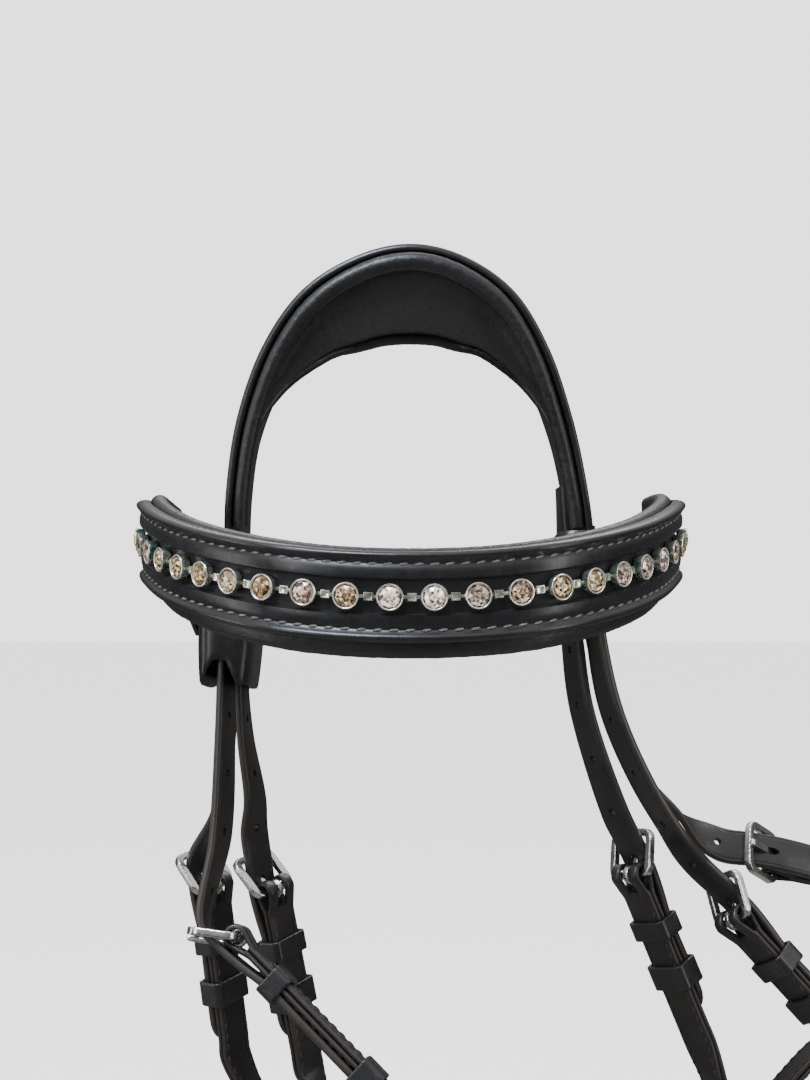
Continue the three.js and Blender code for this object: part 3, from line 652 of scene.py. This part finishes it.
def crown_pad_section(stop):
    """Front roll, raised crescent pad and back roll, with a sewn valley between each."""
    t = (stop.t - 1 / 12) / (10 / 12)
    front = -crown_width(stop.t) / 2 - 1.5
    rear = front + 8.5 + (crown_width(stop.t) - 5.5) * PAD_BACK(t)
    top = -HEADPIECE / 2 - 0.4
    deep, roll = PAD_SWELL(t), PAD_ROLL(t)
    full = min(1.0, max(0.0, rear - front - 2 * roll - 3) / 15)
    back = 0.8 + 1.8 * full
    start, end = front + 2 * roll - 0.1, rear - 2 * back + 0.3
    span = max(0.5, end - start)
    valley = 0.62 * roll
    deepest = max(deep, valley + 1)
    points = [(front + 1.0, top)]
    for step in range(12):
        angle = math.radians(105 + 21 * step)
        r = roll * (1 + 0.035 * pucker(stop.far, 3.0 * step))
        points.append((front + roll + r * math.cos(angle), top - roll + r * math.sin(angle)))
    for step in range(19):
        x = step / 18
        swell = (1 - abs(2 * x - 1) ** 2.6) ** 0.5
        # the pad stays thick to the back roll
        floor_level = valley + (0.55 * (deepest - valley) * full) * x
        wrinkle = 0.16 * full * pucker(stop.far, span * x, 2.0) * swell
        sewn = 0.25 * noise.noise(V(stop.far * 0.6, 0.0, 9.0)) * max(0.0, 1 - 6 * x)
        under = top - floor_level - (deepest - floor_level) * full * swell + wrinkle + sewn
        points.append((start + span * x, under))
    sunk = back + (deepest - 2 * back - 0.2) * full
    for step in range(10):
        angle = math.radians(190 + 20 * step)
        r = back * (1 + 0.04 * pucker(stop.far, 2.0 * step, 4.0))
        points.append((rear - back + r * math.cos(angle), top - sunk + r * math.sin(angle)))
    points += [(rear - 0.4, top - 0.4 * sunk), (rear - 1.0, top)]
    return points


crown_parts = [(crown_route, headpiece_section)]
headpiece = swept("headpiece_crown", crown_parts, "bridle_leather", bridle_leather, "straps")
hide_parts("headpiece")
pad_parts = [(crown_route[13:-13], crown_pad_section)]
crown_pad = swept("crown_soft_lining", pad_parts, "lining_leather", lining_leather, "straps", 60)
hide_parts("crown_padding")

for name in ("cheek_left", "throatlash_left", "cheek_right", "throatlash_right"):
    make_billet(name, None)
make_billet("noseband_left", "noseband_billet_left")
make_billet("noseband_right", "noseband_billet_right")

# ---- browband ----

# the browband from its middle round to its right end, and its two ends in to the loops
BAND_RIGHT = way(
    (0, -108.5, -21, 0, 0, 1),
    (21, -106.5, -20.4, 0, 0, 1),
    (39.2, -100.9, -18.6, 0, 0, 1),
    (57.9, -87.1, -15.4, 0, 0, 1),
    (72.6, -69.4, -11.5, 0.02, 0, 1),
    (82.9, -48.5, -7, 0.05, 0, 1),
    (87, -33, -4.6, 0.05, 0.08, 1),
)
BAND_END_RIGHT = way((86.5, -20, -5, 0.05, 0.18, 1), (80, -7, -10, 0.05, 0.25, 1))
BAND_END_LEFT = way((-86.5, -20, -7, -0.05, 0.3, 1), (-80, -7, -15, -0.05, 0.4, 1))
LOOPS = {"left": V(-63.9, 2.2, -41), "right": V(60.9, 0.5, -19)}
LOOP_INSIDE = (16.6, 39.0)
LOOP_TILT = 8.0  # degrees
STONE_PITCH = 12.0
CUP_LEVEL, LINK_LEVEL = 3.4, 2.9  # middles above the band's own middle line
STONE_RISE = 1.25  # above its cup's middle
SEAM_LINE = 9.3  # from the band's middle to each sewn line
SEAM_LEVEL = 2.85

band_left = [(V(-p.x, p.y, p.z), V(-w.x, w.y, w.z)) for p, w in reversed(BAND_RIGHT[1:])]
band_route = route(list(reversed(BAND_END_LEFT)) + band_left + BAND_RIGHT + BAND_END_RIGHT, 24)

# half of the face: channel floor, lip, smooth rail, sewn dip, rolled edge
BAND_HALF = [(0, 1.25), (3, 1.25), (4.6, 1.3), (4.85, 1.7), (4.85, 3.0), (5.2, 3.45), (6.2, 3.55)]
BAND_HALF += [(7.6, 3.4), (8.4, 3.2), (9.3, 2.75), (9.9, 3.0), (10.5, 3.8), (11.2, 4.3), (11.9, 4.3)]
BAND_HALF += [(12.5, 3.8), (12.95, 2.8), (13.15, 1.5), (13.0, 0.1)]


def band_section(stop):
    right = BAND_HALF[1:]
    return [(-a, b) for a, b in reversed(right)] + BAND_HALF


def band_lining_section(stop):
    """Soft lining: a roll shows under the leather, and over it only where the band turns to its loops."""
    near_loop = abs(2 * stop.t - 1) ** 4
    points = [(11.0, -0.5)]
    for sign, middle in ((1, 10.9 + 2.6 * near_loop), (-1, -15.0)):
        if sign < 0:
            points += [(6, -6.6), (2, -6.9), (-4, -6.9), (-10, -6.6)]
        for step in range(10):
            angle = math.radians(75 - 20 * step if sign > 0 else 285 - 20 * step)
            r = (2.8 + 0.5 * near_loop) * (1 + 0.04 * pucker(stop.far, 2.5 * step, 3.0 + sign))
            points.append((middle + r * math.cos(angle), -3.3 + r * math.sin(angle)))
    points.append((-13.0, -0.5))
    return points


def band_loop(side):
    """A loop's points and faces: a soft tube round the straps, worn to an arch under the left one."""
    tilt = Matrix.Rotation(-math.radians(LOOP_TILT), 3, "X")
    # the wall's own outline: out from the inside, and down from 0 at the top edge to 1 at the lower one
    profile = [(1.5, -0.02), (1.9, 0.02)] + [(2.0, k / 8) for k in range(1, 8)] + [(1.9, 0.98), (1.5, 1.02)]
    profile += [(0.5, 1.02), (0.1, 0.98)] + [(0.0, k / 8) for k in range(7, 0, -1)]
    profile += [(0.1, 0.02), (0.5, -0.02)]
    around = 56
    points, faces = [], []
    for i in range(around):
        angle = 2 * math.pi * i / around
        c, d = math.cos(angle), math.sin(angle)
        for offset, s in profile:
            a, b = LOOP_INSIDE[0] / 2 + offset, LOOP_INSIDE[1] / 2 + offset
            reach = (abs(c / a) ** 5 + abs(d / b) ** 5) ** -0.2
            x, y = reach * c, reach * d
            low = -14.0
            if side == "left":
                arch = 8.5 * math.exp(-(((x + 2.4) / 5.4) ** 4)) * (1.0 if y < 0 else 0.5)
                low += arch - 2.2
                x *= 1 - (0.2 * s if x > 0 else 0.03 * s)
            x += 0.5 * math.sin(math.pi * s) * (1 if x > 0 else -1)
            points.append(LOOPS[side] + tilt @ V(x, y, 14.0 + (low - 14.0) * s))
    n = len(profile)
    for i in range(around):
        j = (i + 1) % around
        for k in range(n):
            m = (k + 1) % n
            faces.append((i * n + k, j * n + k, j * n + m, i * n + m))
    return points, faces


def bridge_stops(side):
    """From the band's end to the loop's wall, in the same direction as the band."""
    end = BAND_END_RIGHT if side == "right" else BAND_END_LEFT
    sign = 1 if side == "right" else -1
    wall = LOOPS[side] + V(sign * (LOOP_INSIDE[0] / 2 + 0.9), 1, 5 if side == "left" else 0)
    stops = [(end[0][0].lerp(end[1][0], 0.7), end[1][1]), end[1], (wall, V(0, 0.2, 1))]
    return route(stops if sign > 0 else stops[::-1], 8)


def bridge_section(side):
    """The band's end narrows to where it is sewn to its loop."""

    def section(stop):
        near = stop.t if side == "right" else 1 - stop.t
        return rounded(20.5 - 8.0 * near, 0.0, 2.2, 0.8)

    return section


band_parts = [(band_route, band_section)]
for side in ("left", "right"):
    band_parts.append((bridge_stops(side), bridge_section(side)))
carrying_strap("browband_face", band_parts, ["browband_leather"], "browband", band_leather)
for side in ("left", "right"):
    loop = new_piece(f"browband_loop_{side}", *band_loop(side), "bridle_leather", bridle_leather)
    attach(loop, "browband")
lining_parts = [(band_route[20:-20], band_lining_section)]
band_lining = swept(
    "browband_soft_lining", lining_parts, "lining_leather", lining_leather, "browband", 60
)
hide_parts("browband_lining")


def copies(name, template, places, slot, material, body, tints=None, shade=None, smooth=30):
    """Copies of a small modelled piece at each place, as one object. `shade` gives each face its shade."""
    vertices, faces, tint_values, shades = [], [], [], []
    for k, place in enumerate(places):
        first = len(vertices)
        vertices += [place @ v.co for v in template.data.vertices]
        faces += [tuple(first + i for i in p.vertices) for p in template.data.polygons]
        if shade:
            tint_values += [tints[k] if tints else 0.0] * len(template.data.polygons)
            shades += [shade(k, p) for p in template.data.polygons]
    mesh = bpy.data.meshes.new(name)
    mesh.from_pydata(vertices, [], faces)
    piece = bpy.data.objects.new(name, mesh)
    bpy.context.collection.objects.link(piece)
    if shade:
        mesh.attributes.new("tint", "FLOAT", "FACE").data.foreach_set("value", tint_values)
        mesh.attributes.new("shade", "FLOAT", "FACE").data.foreach_set("value", shades)
    finish_piece(piece, material, smooth)
    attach(piece, body)
    return piece


def place_on(stop, across, outwards, turn=0.0):
    """X along the strap, Y across it, Z outwards, in metres."""
    basis = Matrix((stop.along, stop.side, stop.out)).transposed()
    spun = basis @ Matrix.Rotation(turn, 3, "Z")
    return Matrix.Translation(placed(stop.point(across, outwards))) @ spun.to_4x4()


def pick_faces(test):
    """In edit mode, selects the faces whose centre and normal pass the test."""
    bpy.ops.object.mode_set(mode="OBJECT")
    mesh = bpy.context.object.data
    for kind in (mesh.vertices, mesh.edges, mesh.polygons):
        kind.foreach_set("select", [False] * len(kind))
    for face in mesh.polygons:
        face.select = test(face.center, face.normal)
    bpy.ops.object.mode_set(mode="EDIT")


def bevelled(piece, name, width, segments, angle):
    """Rounds the edges sharper than the angle, by the width in millimetres."""
    edge = piece.modifiers.new(name, "BEVEL")
    edge.width = width * MM
    edge.segments = segments
    edge.limit_method = "ANGLE"
    edge.angle_limit = math.radians(angle)
    bpy.ops.object.modifier_apply(modifier=edge.name)
    return piece


def opened(primitive, **size):
    """Adds a primitive and opens it, so that its faces can be shaped."""
    bpy.ops.object.select_all(action="DESELECT")
    primitive(**size)
    bpy.ops.object.mode_set(mode="EDIT")
    bpy.ops.mesh.select_mode(type="FACE")
    return bpy.context.object


def drawn_out(x, z):
    """Extrudes the selected faces by these millimetres."""
    bpy.ops.mesh.extrude_region_move(TRANSFORM_OT_translate={"value": (x * MM, 0, z * MM)})


def stone_cup():
    """A drawn metal cup: a rolled rim round a sunk seat."""
    cup = opened(bpy.ops.mesh.primitive_cylinder_add, vertices=28, radius=3.9 * MM, depth=3.4 * MM)
    pick_faces(lambda centre, normal: normal.z > 0.9)
    bpy.ops.mesh.inset(thickness=0.6 * MM)
    drawn_out(0, -1.1)
    pick_faces(lambda centre, normal: normal.z < -0.9)
    bpy.ops.transform.resize(value=(0.84, 0.84, 1.0))
    bpy.ops.object.mode_set(mode="OBJECT")
    return bevelled(cup, "rim", 0.32, 3, 40)


def cut_stone():
    """A round brilliant: a narrow girdle, two rows of facets and a table cut into triangles, which each get
    their own painted reflection of the facets under it.
    """
    size = {"radius1": 3.3 * MM, "radius2": 2.8 * MM, "depth": 0.7 * MM}
    stone = opened(bpy.ops.mesh.primitive_cone_add, vertices=12, **size)
    pick_faces(lambda centre, normal: normal.z > 0.9)
    drawn_out(0, 0.5)
    bpy.ops.transform.resize(value=(0.66, 0.66, 1.0))
    bpy.ops.transform.rotate(value=math.radians(15), orient_axis="Z", center_override=(0, 0, 0))
    drawn_out(0, 0.12)
    bpy.ops.transform.resize(value=(0.55, 0.55, 1.0))
    bpy.ops.transform.rotate(value=math.radians(15), orient_axis="Z", center_override=(0, 0, 0))
    pick_faces(lambda centre, normal: normal.z < -0.9)
    drawn_out(0, -0.35)
    bpy.ops.mesh.select_all(action="SELECT")
    bpy.ops.mesh.quads_convert_to_tris()
    bpy.ops.object.mode_set(mode="OBJECT")
    return stone


def chain_link():
    """A stamped link: a small square plate on the thin bar that joins two cups."""
    link = opened(bpy.ops.mesh.primitive_cube_add, size=1)
    bpy.ops.transform.resize(value=(2.7 * MM, 2.3 * MM, 1.2 * MM))
    for sign in (1, -1):
        pick_faces(lambda centre, normal: normal.x * sign > 0.9)
        bpy.ops.mesh.inset(thickness=0.35 * MM)
        bpy.ops.transform.resize(value=(1.0, 0.6, 1.0))
        drawn_out(sign * 1.4, 0)
    pick_faces(lambda centre, normal: normal.z > 0.9 and abs(centre.x) < 0.3 * MM)
    bpy.ops.mesh.inset(thickness=0.35 * MM)
    drawn_out(0, -0.2)
    bpy.ops.object.mode_set(mode="OBJECT")
    return bevelled(link, "edges", 0.12, 2, 30)


def stitch():
    """One lock stitch: a short fat thread with both ends sunk."""
    made = opened(bpy.ops.mesh.primitive_uv_sphere_add, segments=6, ring_count=5, radius=1.0)
    bpy.ops.transform.rotate(value=math.radians(90), orient_axis="Y", center_override=(0, 0, 0))
    bpy.ops.transform.resize(value=(1.45 * MM, 0.46 * MM, 0.42 * MM))
    bpy.ops.object.mode_set(mode="OBJECT")
    return made


middle = band_route[len(band_route) // 2].far
each = int((band_route[-1].far / 2 - 14) / STONE_PITCH)
cup_places, link_places, tints = [], [], []
for k in range(-each, each):
    stop = at_distance(band_route, middle + (k + 0.5) * STONE_PITCH)
    cup_places.append(place_on(stop, 0.0, CUP_LEVEL, 0.7 * k))
    painted_highlight_tint = 0.35 if abs(k) < 2 else 0.0  # the stones in the middle, tinted whiter as a painted highlight
    tint = 0.45 + 0.9 * noise.noise(V(k * 3.7, 0.3, 1.0)) + painted_highlight_tint
    tints.append(min(1.0, max(0.0, tint)))
    if k < each - 1:
        halfway = at_distance(band_route, middle + (k + 1) * STONE_PITCH)
        link_places.append(place_on(halfway, 0.0, LINK_LEVEL))
stone_places = [p @ Matrix.Translation((0, 0, STONE_RISE * MM)) for p in cup_places]


def cup_shade(k, face):
    """The rim is bright; the wall is darker towards the channel."""
    return min(1.0, max(0.0, (face.center.z / MM + 1.2) / 2.4))


def painted_facet_reflections(k, face):
    """Painted reflections: each facet is given its own light or dark shade in place of the light that a cut
    stone throws.
    """
    c = face.center / MM
    painted_highlight = 0.25 if k in (each - 1, each) else 0.0  # a painted highlight on the two stones in the middle
    value = 0.42 + 1.05 * noise.noise(V(c.x * 1.3 + 3.1 * k, c.y * 1.3, c.z + k)) + painted_highlight
    return min(1.0, max(0.0, value))


def link_shade(k, face):
    """The links are nearly clean all over."""
    return 0.8


templates = [stone_cup(), chain_link(), cut_stone(), stitch()]
cup, link, stone, thread = templates
chain = ("stone_setting", silver_plate, "browband")
cups = copies("browband_cups", cup, cup_places, *chain, shade=cup_shade)
copies("browband_links", link, link_places, *chain, shade=link_shade)
setting = ("stone_setting", crystal, "browband")
copies("browband_stones", stone, stone_places, *setting, tints, painted_facet_reflections, smooth=1)
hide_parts("browband_stone_chain")


def stitch_row(stops, across, outwards, first, last, pitch=4.4):
    """Places for a row of slightly slanted stitches; `across` is a function of the stop."""
    places, far = [], first
    while far < stops[-1].far - last:
        stop = at_distance(stops, far)
        places.append(place_on(stop, across(stop), outwards, math.radians(9)))
        far += pitch
    return places


rows = stitch_row(band_route, lambda stop: SEAM_LINE, SEAM_LEVEL, first=14, last=14)
rows += stitch_row(band_route, lambda stop: -SEAM_LINE, SEAM_LEVEL, first=16, last=14)
copies("browband_stitches", thread, rows, "bridle_leather", grey_thread, "browband", smooth=180)

# ---- bit end of the cheekpieces ----

# the ring's radius to its wire's middle, the wire's radius, the rings' distance, and the loop round a ring
RING, WIRE, MOUTH, LOOP_HOLE = 35.0, 3.5, 141.0, 5.0
bit_left, bit_right = V(52, -106, -322), V(186, -62, -322)
bit_axis = (bit_right - bit_left).normalized()
bit_centre = (bit_left + bit_right) / 2 + V(0, 0, -RING - LOOP_HOLE + WIRE + 1)


def bit_end(side):
    """The cheekpiece's end: down to its loop, and the loop round the ring."""
    outward = bit_axis * side
    across = outward.cross(V(0, 0, -1))
    at = bit_centre + bit_axis * (side * MOUTH / 2) + V(0, 0, RING - LOOP_HOLE + WIRE + 1)
    straight = [(at + V(0, 0, 30), across), (at + V(0, 0, 9.5), across)]
    middle_radius = LOOP_HOLE + 1.2
    turn = [(at + V(0, 0, h) + outward * n, across) for h, n in ((20, 1.05), (11, 1.2), (7.6, 2.6))]
    for angle in (60, 20, -20, -60, -90, -120, -160, -200, -240):
        a = math.radians(angle)
        spot = at + V(0, 0, 1) * middle_radius * math.sin(a) + outward * middle_radius * math.cos(a)
        turn.append((spot, across))
    turn += [(at + V(0, 0, h) - outward * n, across) for h, n in ((7.6, 2.6), (11, 1.2), (20, 1.05))]
    return straight, route(turn, 3)


def seam(name, stops):
    """Two rows of stitches on both faces of a folded strap."""
    places = []
    for line in (-CREASE_LINE, CREASE_LINE):
        for level in (2.02, -2.02):
            places += stitch_row(stops, lambda stop: line, level, first=9.0, last=9.0, pitch=4.0)
    copies(name, thread, places, "bridle_leather", dark_thread, "straps", smooth=180)


def cheekpiece(name, station, side, straight, middle_way):
    """From its buckle, straight for a while, then on its way to the bit ring."""
    end, turn = bit_end(side)
    main = route(straight_away(station, straight) + middle_way + end, 10)
    round_ring = [(turn, strap_section(thick=LAYER))]
    carrying_strap(name, folded(main) + fold_parts(station) + round_ring, [name])
    seam(f"{name}_seam", main)


cheekpiece(
    "cheekpiece_left",
    stations["cheek_left"],
    -1,
    92,
    way((34, -74, -222, -0.5, -1, 0), (48, -94, -250, -0.4, -1, 0), (52, -104, -282, -0.3, -1, 0)),
)
cheekpiece(
    "cheekpiece_right",
    stations["cheek_right"],
    1,
    54,
    way((172, -32, -206, -0.6, 1, 0), (181, -45, -242, -0.45, 1, 0), (185.5, -57, -278, -0.35, 1, 0)),
)

# ---- noseband ----

NOSE_WAY = [(-24, 0), (-24, -26), (-12, -56), (14, -78), (46, -85)]
NOSE_WAY += [(78, -78), (104, -56), (116, -26), (116, 0)]
NOSE_WIDTH = between([18, 24, 29, 31, 31, 31, 29, 24, 18])
nose_route = route([(V(x, y, NOSE_LEVEL), V(0, 0, 1)) for x, y in NOSE_WAY], 24)


def nose_section(stop):
    """Flat leather with a raised middle and a sewn line near each edge."""
    w = NOSE_WIDTH(stop.t) / 2
    half = [(0, 2.6), (w * 0.45, 2.4), (w - 4.4, 1.9), (w - 3.4, 1.35), (w - 2.6, 1.3)]
    half += [(w - 1.6, 1.7), (w - 0.6, 1.4), (w, 0.4), (w - 0.1, -1.2), (w - 0.6, -1.65)]
    return [(-a, b) for a, b in reversed(half[1:])] + half


chin = stations["chin"]
left_tail = [(chin.point(a, 0), chin.v) for a in (6, 20, 36)]
left_tail += [(V(-23.4, 4, NOSE_LEVEL), V(0, 0, -1)), (V(-24, -7, NOSE_LEVEL), V(0, 0, -1))]
right_way = [(116, -7), (116, 6), (112, 28), (97, 48), (74, 60), (48, 66)]
right_tail = [(V(x, y, NOSE_LEVEL), V(0, 0, -1)) for x, y in right_way]
right_tail += [(chin.point(a, b), chin.v) for a, b in BILLET_WAY + [(46, BILLET_LIFT)]]
left_stops, right_stops = route(left_tail, 10), route(right_tail, 10)
nose_parts = [(nose_route, nose_section)] + folded(left_stops)
nose_parts += [(right_stops, strap_section(tip=(right_stops[-1].far, TIP)))] + fold_parts(chin)
carrying_strap("noseband", nose_parts, ["noseband_leather"], material=bridle_leather)

NOSE_PAD_WIDTH = between([22, 32, 34, 34, 34, 32, 22])
NOSE_PAD_DEEP = between([4, 7, 8, 8, 8, 7, 4])
nose_pad_stops = [s for s in nose_route if 1 / 8 - NEARBY <= s.t <= 7 / 8 + NEARBY]


def nose_pad_section(stop):
    """A flat pad with full round edges, under the noseband."""
    t = (stop.t - 0.125) / 0.75
    w, deep = NOSE_PAD_WIDTH(t) / 2, NOSE_PAD_DEEP(t)
    top, r = -1.7 - 0.45, deep / 2
    points = [(w - 1.5, top)]
    for step in range(7):
        angle = math.radians(60 - 25 * step)
        points.append((w - r + r * math.cos(angle), top - r + r * math.sin(angle)))
    points += [(w * 0.3, top - deep - 0.2), (-w * 0.3, top - deep - 0.2)]
    for step in range(7):
        angle = math.radians(270 - 25 * step)
        points.append((-w + r + r * math.cos(angle), top - r + r * math.sin(angle)))
    points.append((-w + 1.5, top))
    return points


nose_pad_parts = [(nose_pad_stops, nose_pad_section)]
nose_pad = swept(
    "noseband_soft_padding", nose_pad_parts, "lining_leather", lining_leather, "straps", 60
)
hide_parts("noseband_padding")
nose_rows = []
for sign in (-1, 1):
    nose_rows += stitch_row(
        nose_route, lambda stop: sign * (NOSE_WIDTH(stop.t) / 2 - 3.0), 1.45, first=8.0, last=8
    )
copies("noseband_stitches", thread, nose_rows, "bridle_leather", dark_thread, "straps", smooth=180)


def nose_hanger(name, station, sign, middle_way):
    """From its buckle down to the noseband's end, where it lies outside it."""
    x = 46 + sign * (70.8 + 3.4 / 2 + 0.3 + (4.2 - 0.6) / 2 + 0.2)  # half the noseband, its wall, the strap
    ending = [(V(x, y, NOSE_LEVEL + rise), V(0, sign, 0)) for y, rise in ((-4, 20), (-7, 2), (-8, -8))]
    main = route(straight_away(station, 66) + middle_way + ending, 10)
    carrying_strap(name, folded(main) + fold_parts(station), [name])
    seam(f"{name}_seam", main)


nose_hanger(
    "noseband_hanger_left",
    stations["noseband_left"],
    -1,
    way((-34, 3, -200, -0.2, -1, 0), (-29, 0, -230, -0.1, -1, 0)),
)
nose_hanger(
    "noseband_hanger_right",
    stations["noseband_right"],
    1,
    way((109, -1, -200, -0.4, 1, 0), (115.5, -3, -232, -0.2, 1, 0)),
)

# ---- throatlash ----

THROAT_LOOP = [
    (-53, 25, -220), (-34, 29, -238), (-4, 34, -250), (36, 37, -256), (78, 37, -252), (112, 35, -238),
    (136, 33, -219), (154, 31, -199), (176, 29, -182), (196, 26, -167), (204, 23, -152), (198, 21, -140),
]
left, right = stations["throatlash_left"], stations["throatlash_right"]
throat = [(left.point(a, 0), left.v) for a in (6, 20, 56, 64)]
throat += [(V(*p), V(0, -1, 0)) for p in THROAT_LOOP]
throat += [(right.point(a, 0), -right.v) for a in (54, 48, 20, 6)]
throat_route = route(throat, 8)
throat_parts = folded(throat_route) + fold_parts(left) + fold_parts(right)
carrying_strap("throatlash", throat_parts, ["throatlash_strap"])
seam("throatlash_seam", throat_route)

for template in templates:
    bpy.data.objects.remove(template)

# ---- metalwork and keepers, whose shapes are the frame's own ----


def dress(cad_name, material, voxel=0.0, smooth=0, levels=0):
    """Finishes a carried-over solid: merges it, rounds its edges and gives it its material."""
    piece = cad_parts[cad_name]
    weld = piece.modifiers.new("weld", "WELD")
    weld.merge_threshold = 0.01 * MM
    if voxel:
        remesh = piece.modifiers.new("skin", "REMESH")
        remesh.mode = "VOXEL"
        remesh.voxel_size = voxel * MM
        remesh.use_smooth_shade = True
    if smooth:
        soften = piece.modifiers.new("soften", "SMOOTH")
        soften.factor = 0.5
        soften.iterations = smooth
    if levels:
        fine = piece.modifiers.new("fine", "SUBSURF")
        fine.levels = fine.render_levels = levels
    piece.data.materials.clear()
    piece.data.materials.append(material)
    piece.data.polygons.foreach_set("use_smooth", [True] * len(piece.data.polygons))


for name in stations:
    dress(f"{name}_buckle_frame", polished_steel, voxel=0.32, smooth=7)
    dress(f"{name}_buckle_tongue", polished_steel, voxel=0.26, smooth=5)
    dress(f"{name}_fixed_keeper", bridle_leather, voxel=0.34, smooth=5)
    dress(f"{name}_runner", bridle_leather, voxel=0.34, smooth=5)
for name in ("bit_ring_left", "bit_ring_right"):
    dress(name, bit_steel, levels=2)
for name in ("mouthpiece_left", "mouthpiece_right"):
    dress(name, bit_steel, voxel=0.4, smooth=12)
dress("mouthpiece_link", bit_steel, voxel=0.3, smooth=6)
for name in ("hook_stud_left", "hook_stud_right"):
    dress(name, polished_steel, voxel=0.2, smooth=4)

# ---- camera, floor and light ----

camera_data = bpy.data.cameras.new("camera")
camera_data.sensor_width = 36
camera_data.lens = 47.67
camera_data.clip_start = 0.01
camera = bpy.data.objects.new("camera", camera_data)
camera.location = (-0.002, -0.512, -0.082)
camera.rotation_euler = (math.pi / 2, 0, 0)
bpy.context.collection.objects.link(camera)
bpy.context.scene.camera = camera

FLOOR_LEVEL = -0.62  # clear of the bit
paper, tree, shader, place = blank("white_paper_sweep")
give(tree, shader, {"Base Color": linear("#f2f2f2"), "Roughness": 0.9})
bpy.ops.object.select_all(action="DESELECT")
bpy.ops.mesh.primitive_plane_add(size=14, location=(0, 0, FLOOR_LEVEL))
floor = bpy.context.object
floor.name = "floor"
floor.data.materials.append(paper)


def soft_light(name, size, place, target, power, colour="#ffffff"):
    data = bpy.data.lights.new(name, "AREA")
    data.shape = "RECTANGLE"
    data.size, data.size_y = size
    data.energy = power
    data.color = linear(colour)[:3]
    light = bpy.data.objects.new(name, data)
    light.location = place
    light.rotation_euler = (Vector(target) - Vector(place)).to_track_quat("-Z", "Y").to_euler()
    bpy.context.collection.objects.link(light)


soft_light("window", (0.55, 0.3), (-0.4, -0.7, 0.9), (0, -0.05, -0.08), 20, "#dfebff")
soft_light("front_strip", (0.35, 0.9), (-0.75, -0.9, 0.25), (0, 0, -0.15), 3.5)
soft_light("side_fill", (0.4, 1.3), (1.3, -0.8, 0.15), (0.05, 0, -0.2), 6)
soft_light("left_fill", (0.4, 1.3), (-1.5, -0.3, -0.1), (0, 0, -0.25), 5)
soft_light("back_top", (1.2, 0.5), (0.1, 0.9, 1.0), (0, 0, -0.05), 9)

# a white studio for the eye and for soft light; glossy things see white above and below, and dark all round
world = bpy.data.worlds.new("white_studio")
world.use_nodes = True
tree = world.node_tree
ray = node(tree, "ShaderNodeLightPath")
heading = node(tree, "ShaderNodeTexCoord").outputs["Generated"]
up = node(tree, "ShaderNodeSeparateXYZ", inputs={0: heading}).outputs["Z"]
smoothly = {"interpolation_type": "SMOOTHSTEP"}
overhead = {"Value": up, "From Min": 0.15, "From Max": 0.95, "To Min": 0.09, "To Max": 1.2}
underfoot = {"Value": up, "From Min": -0.2, "From Max": -0.9, "To Max": 0.22}
above = node(tree, "ShaderNodeMapRange", smoothly, overhead).outputs[0]
below = node(tree, "ShaderNodeMapRange", smoothly, underfoot).outputs[0]
reflected = node(tree, "ShaderNodeMath", inputs={0: above, 1: below}).outputs[0]
glossy = {"Value": ray.outputs["Is Glossy Ray"], "To Min": 2.4, "To Max": reflected}
level = node(tree, "ShaderNodeMapRange", inputs=glossy)
tree.nodes["Background"].inputs["Color"].default_value = linear("#ffffff")
tree.links.new(level.outputs[0], tree.nodes["Background"].inputs["Strength"])
bpy.context.scene.world = world
floor.visible_glossy = False
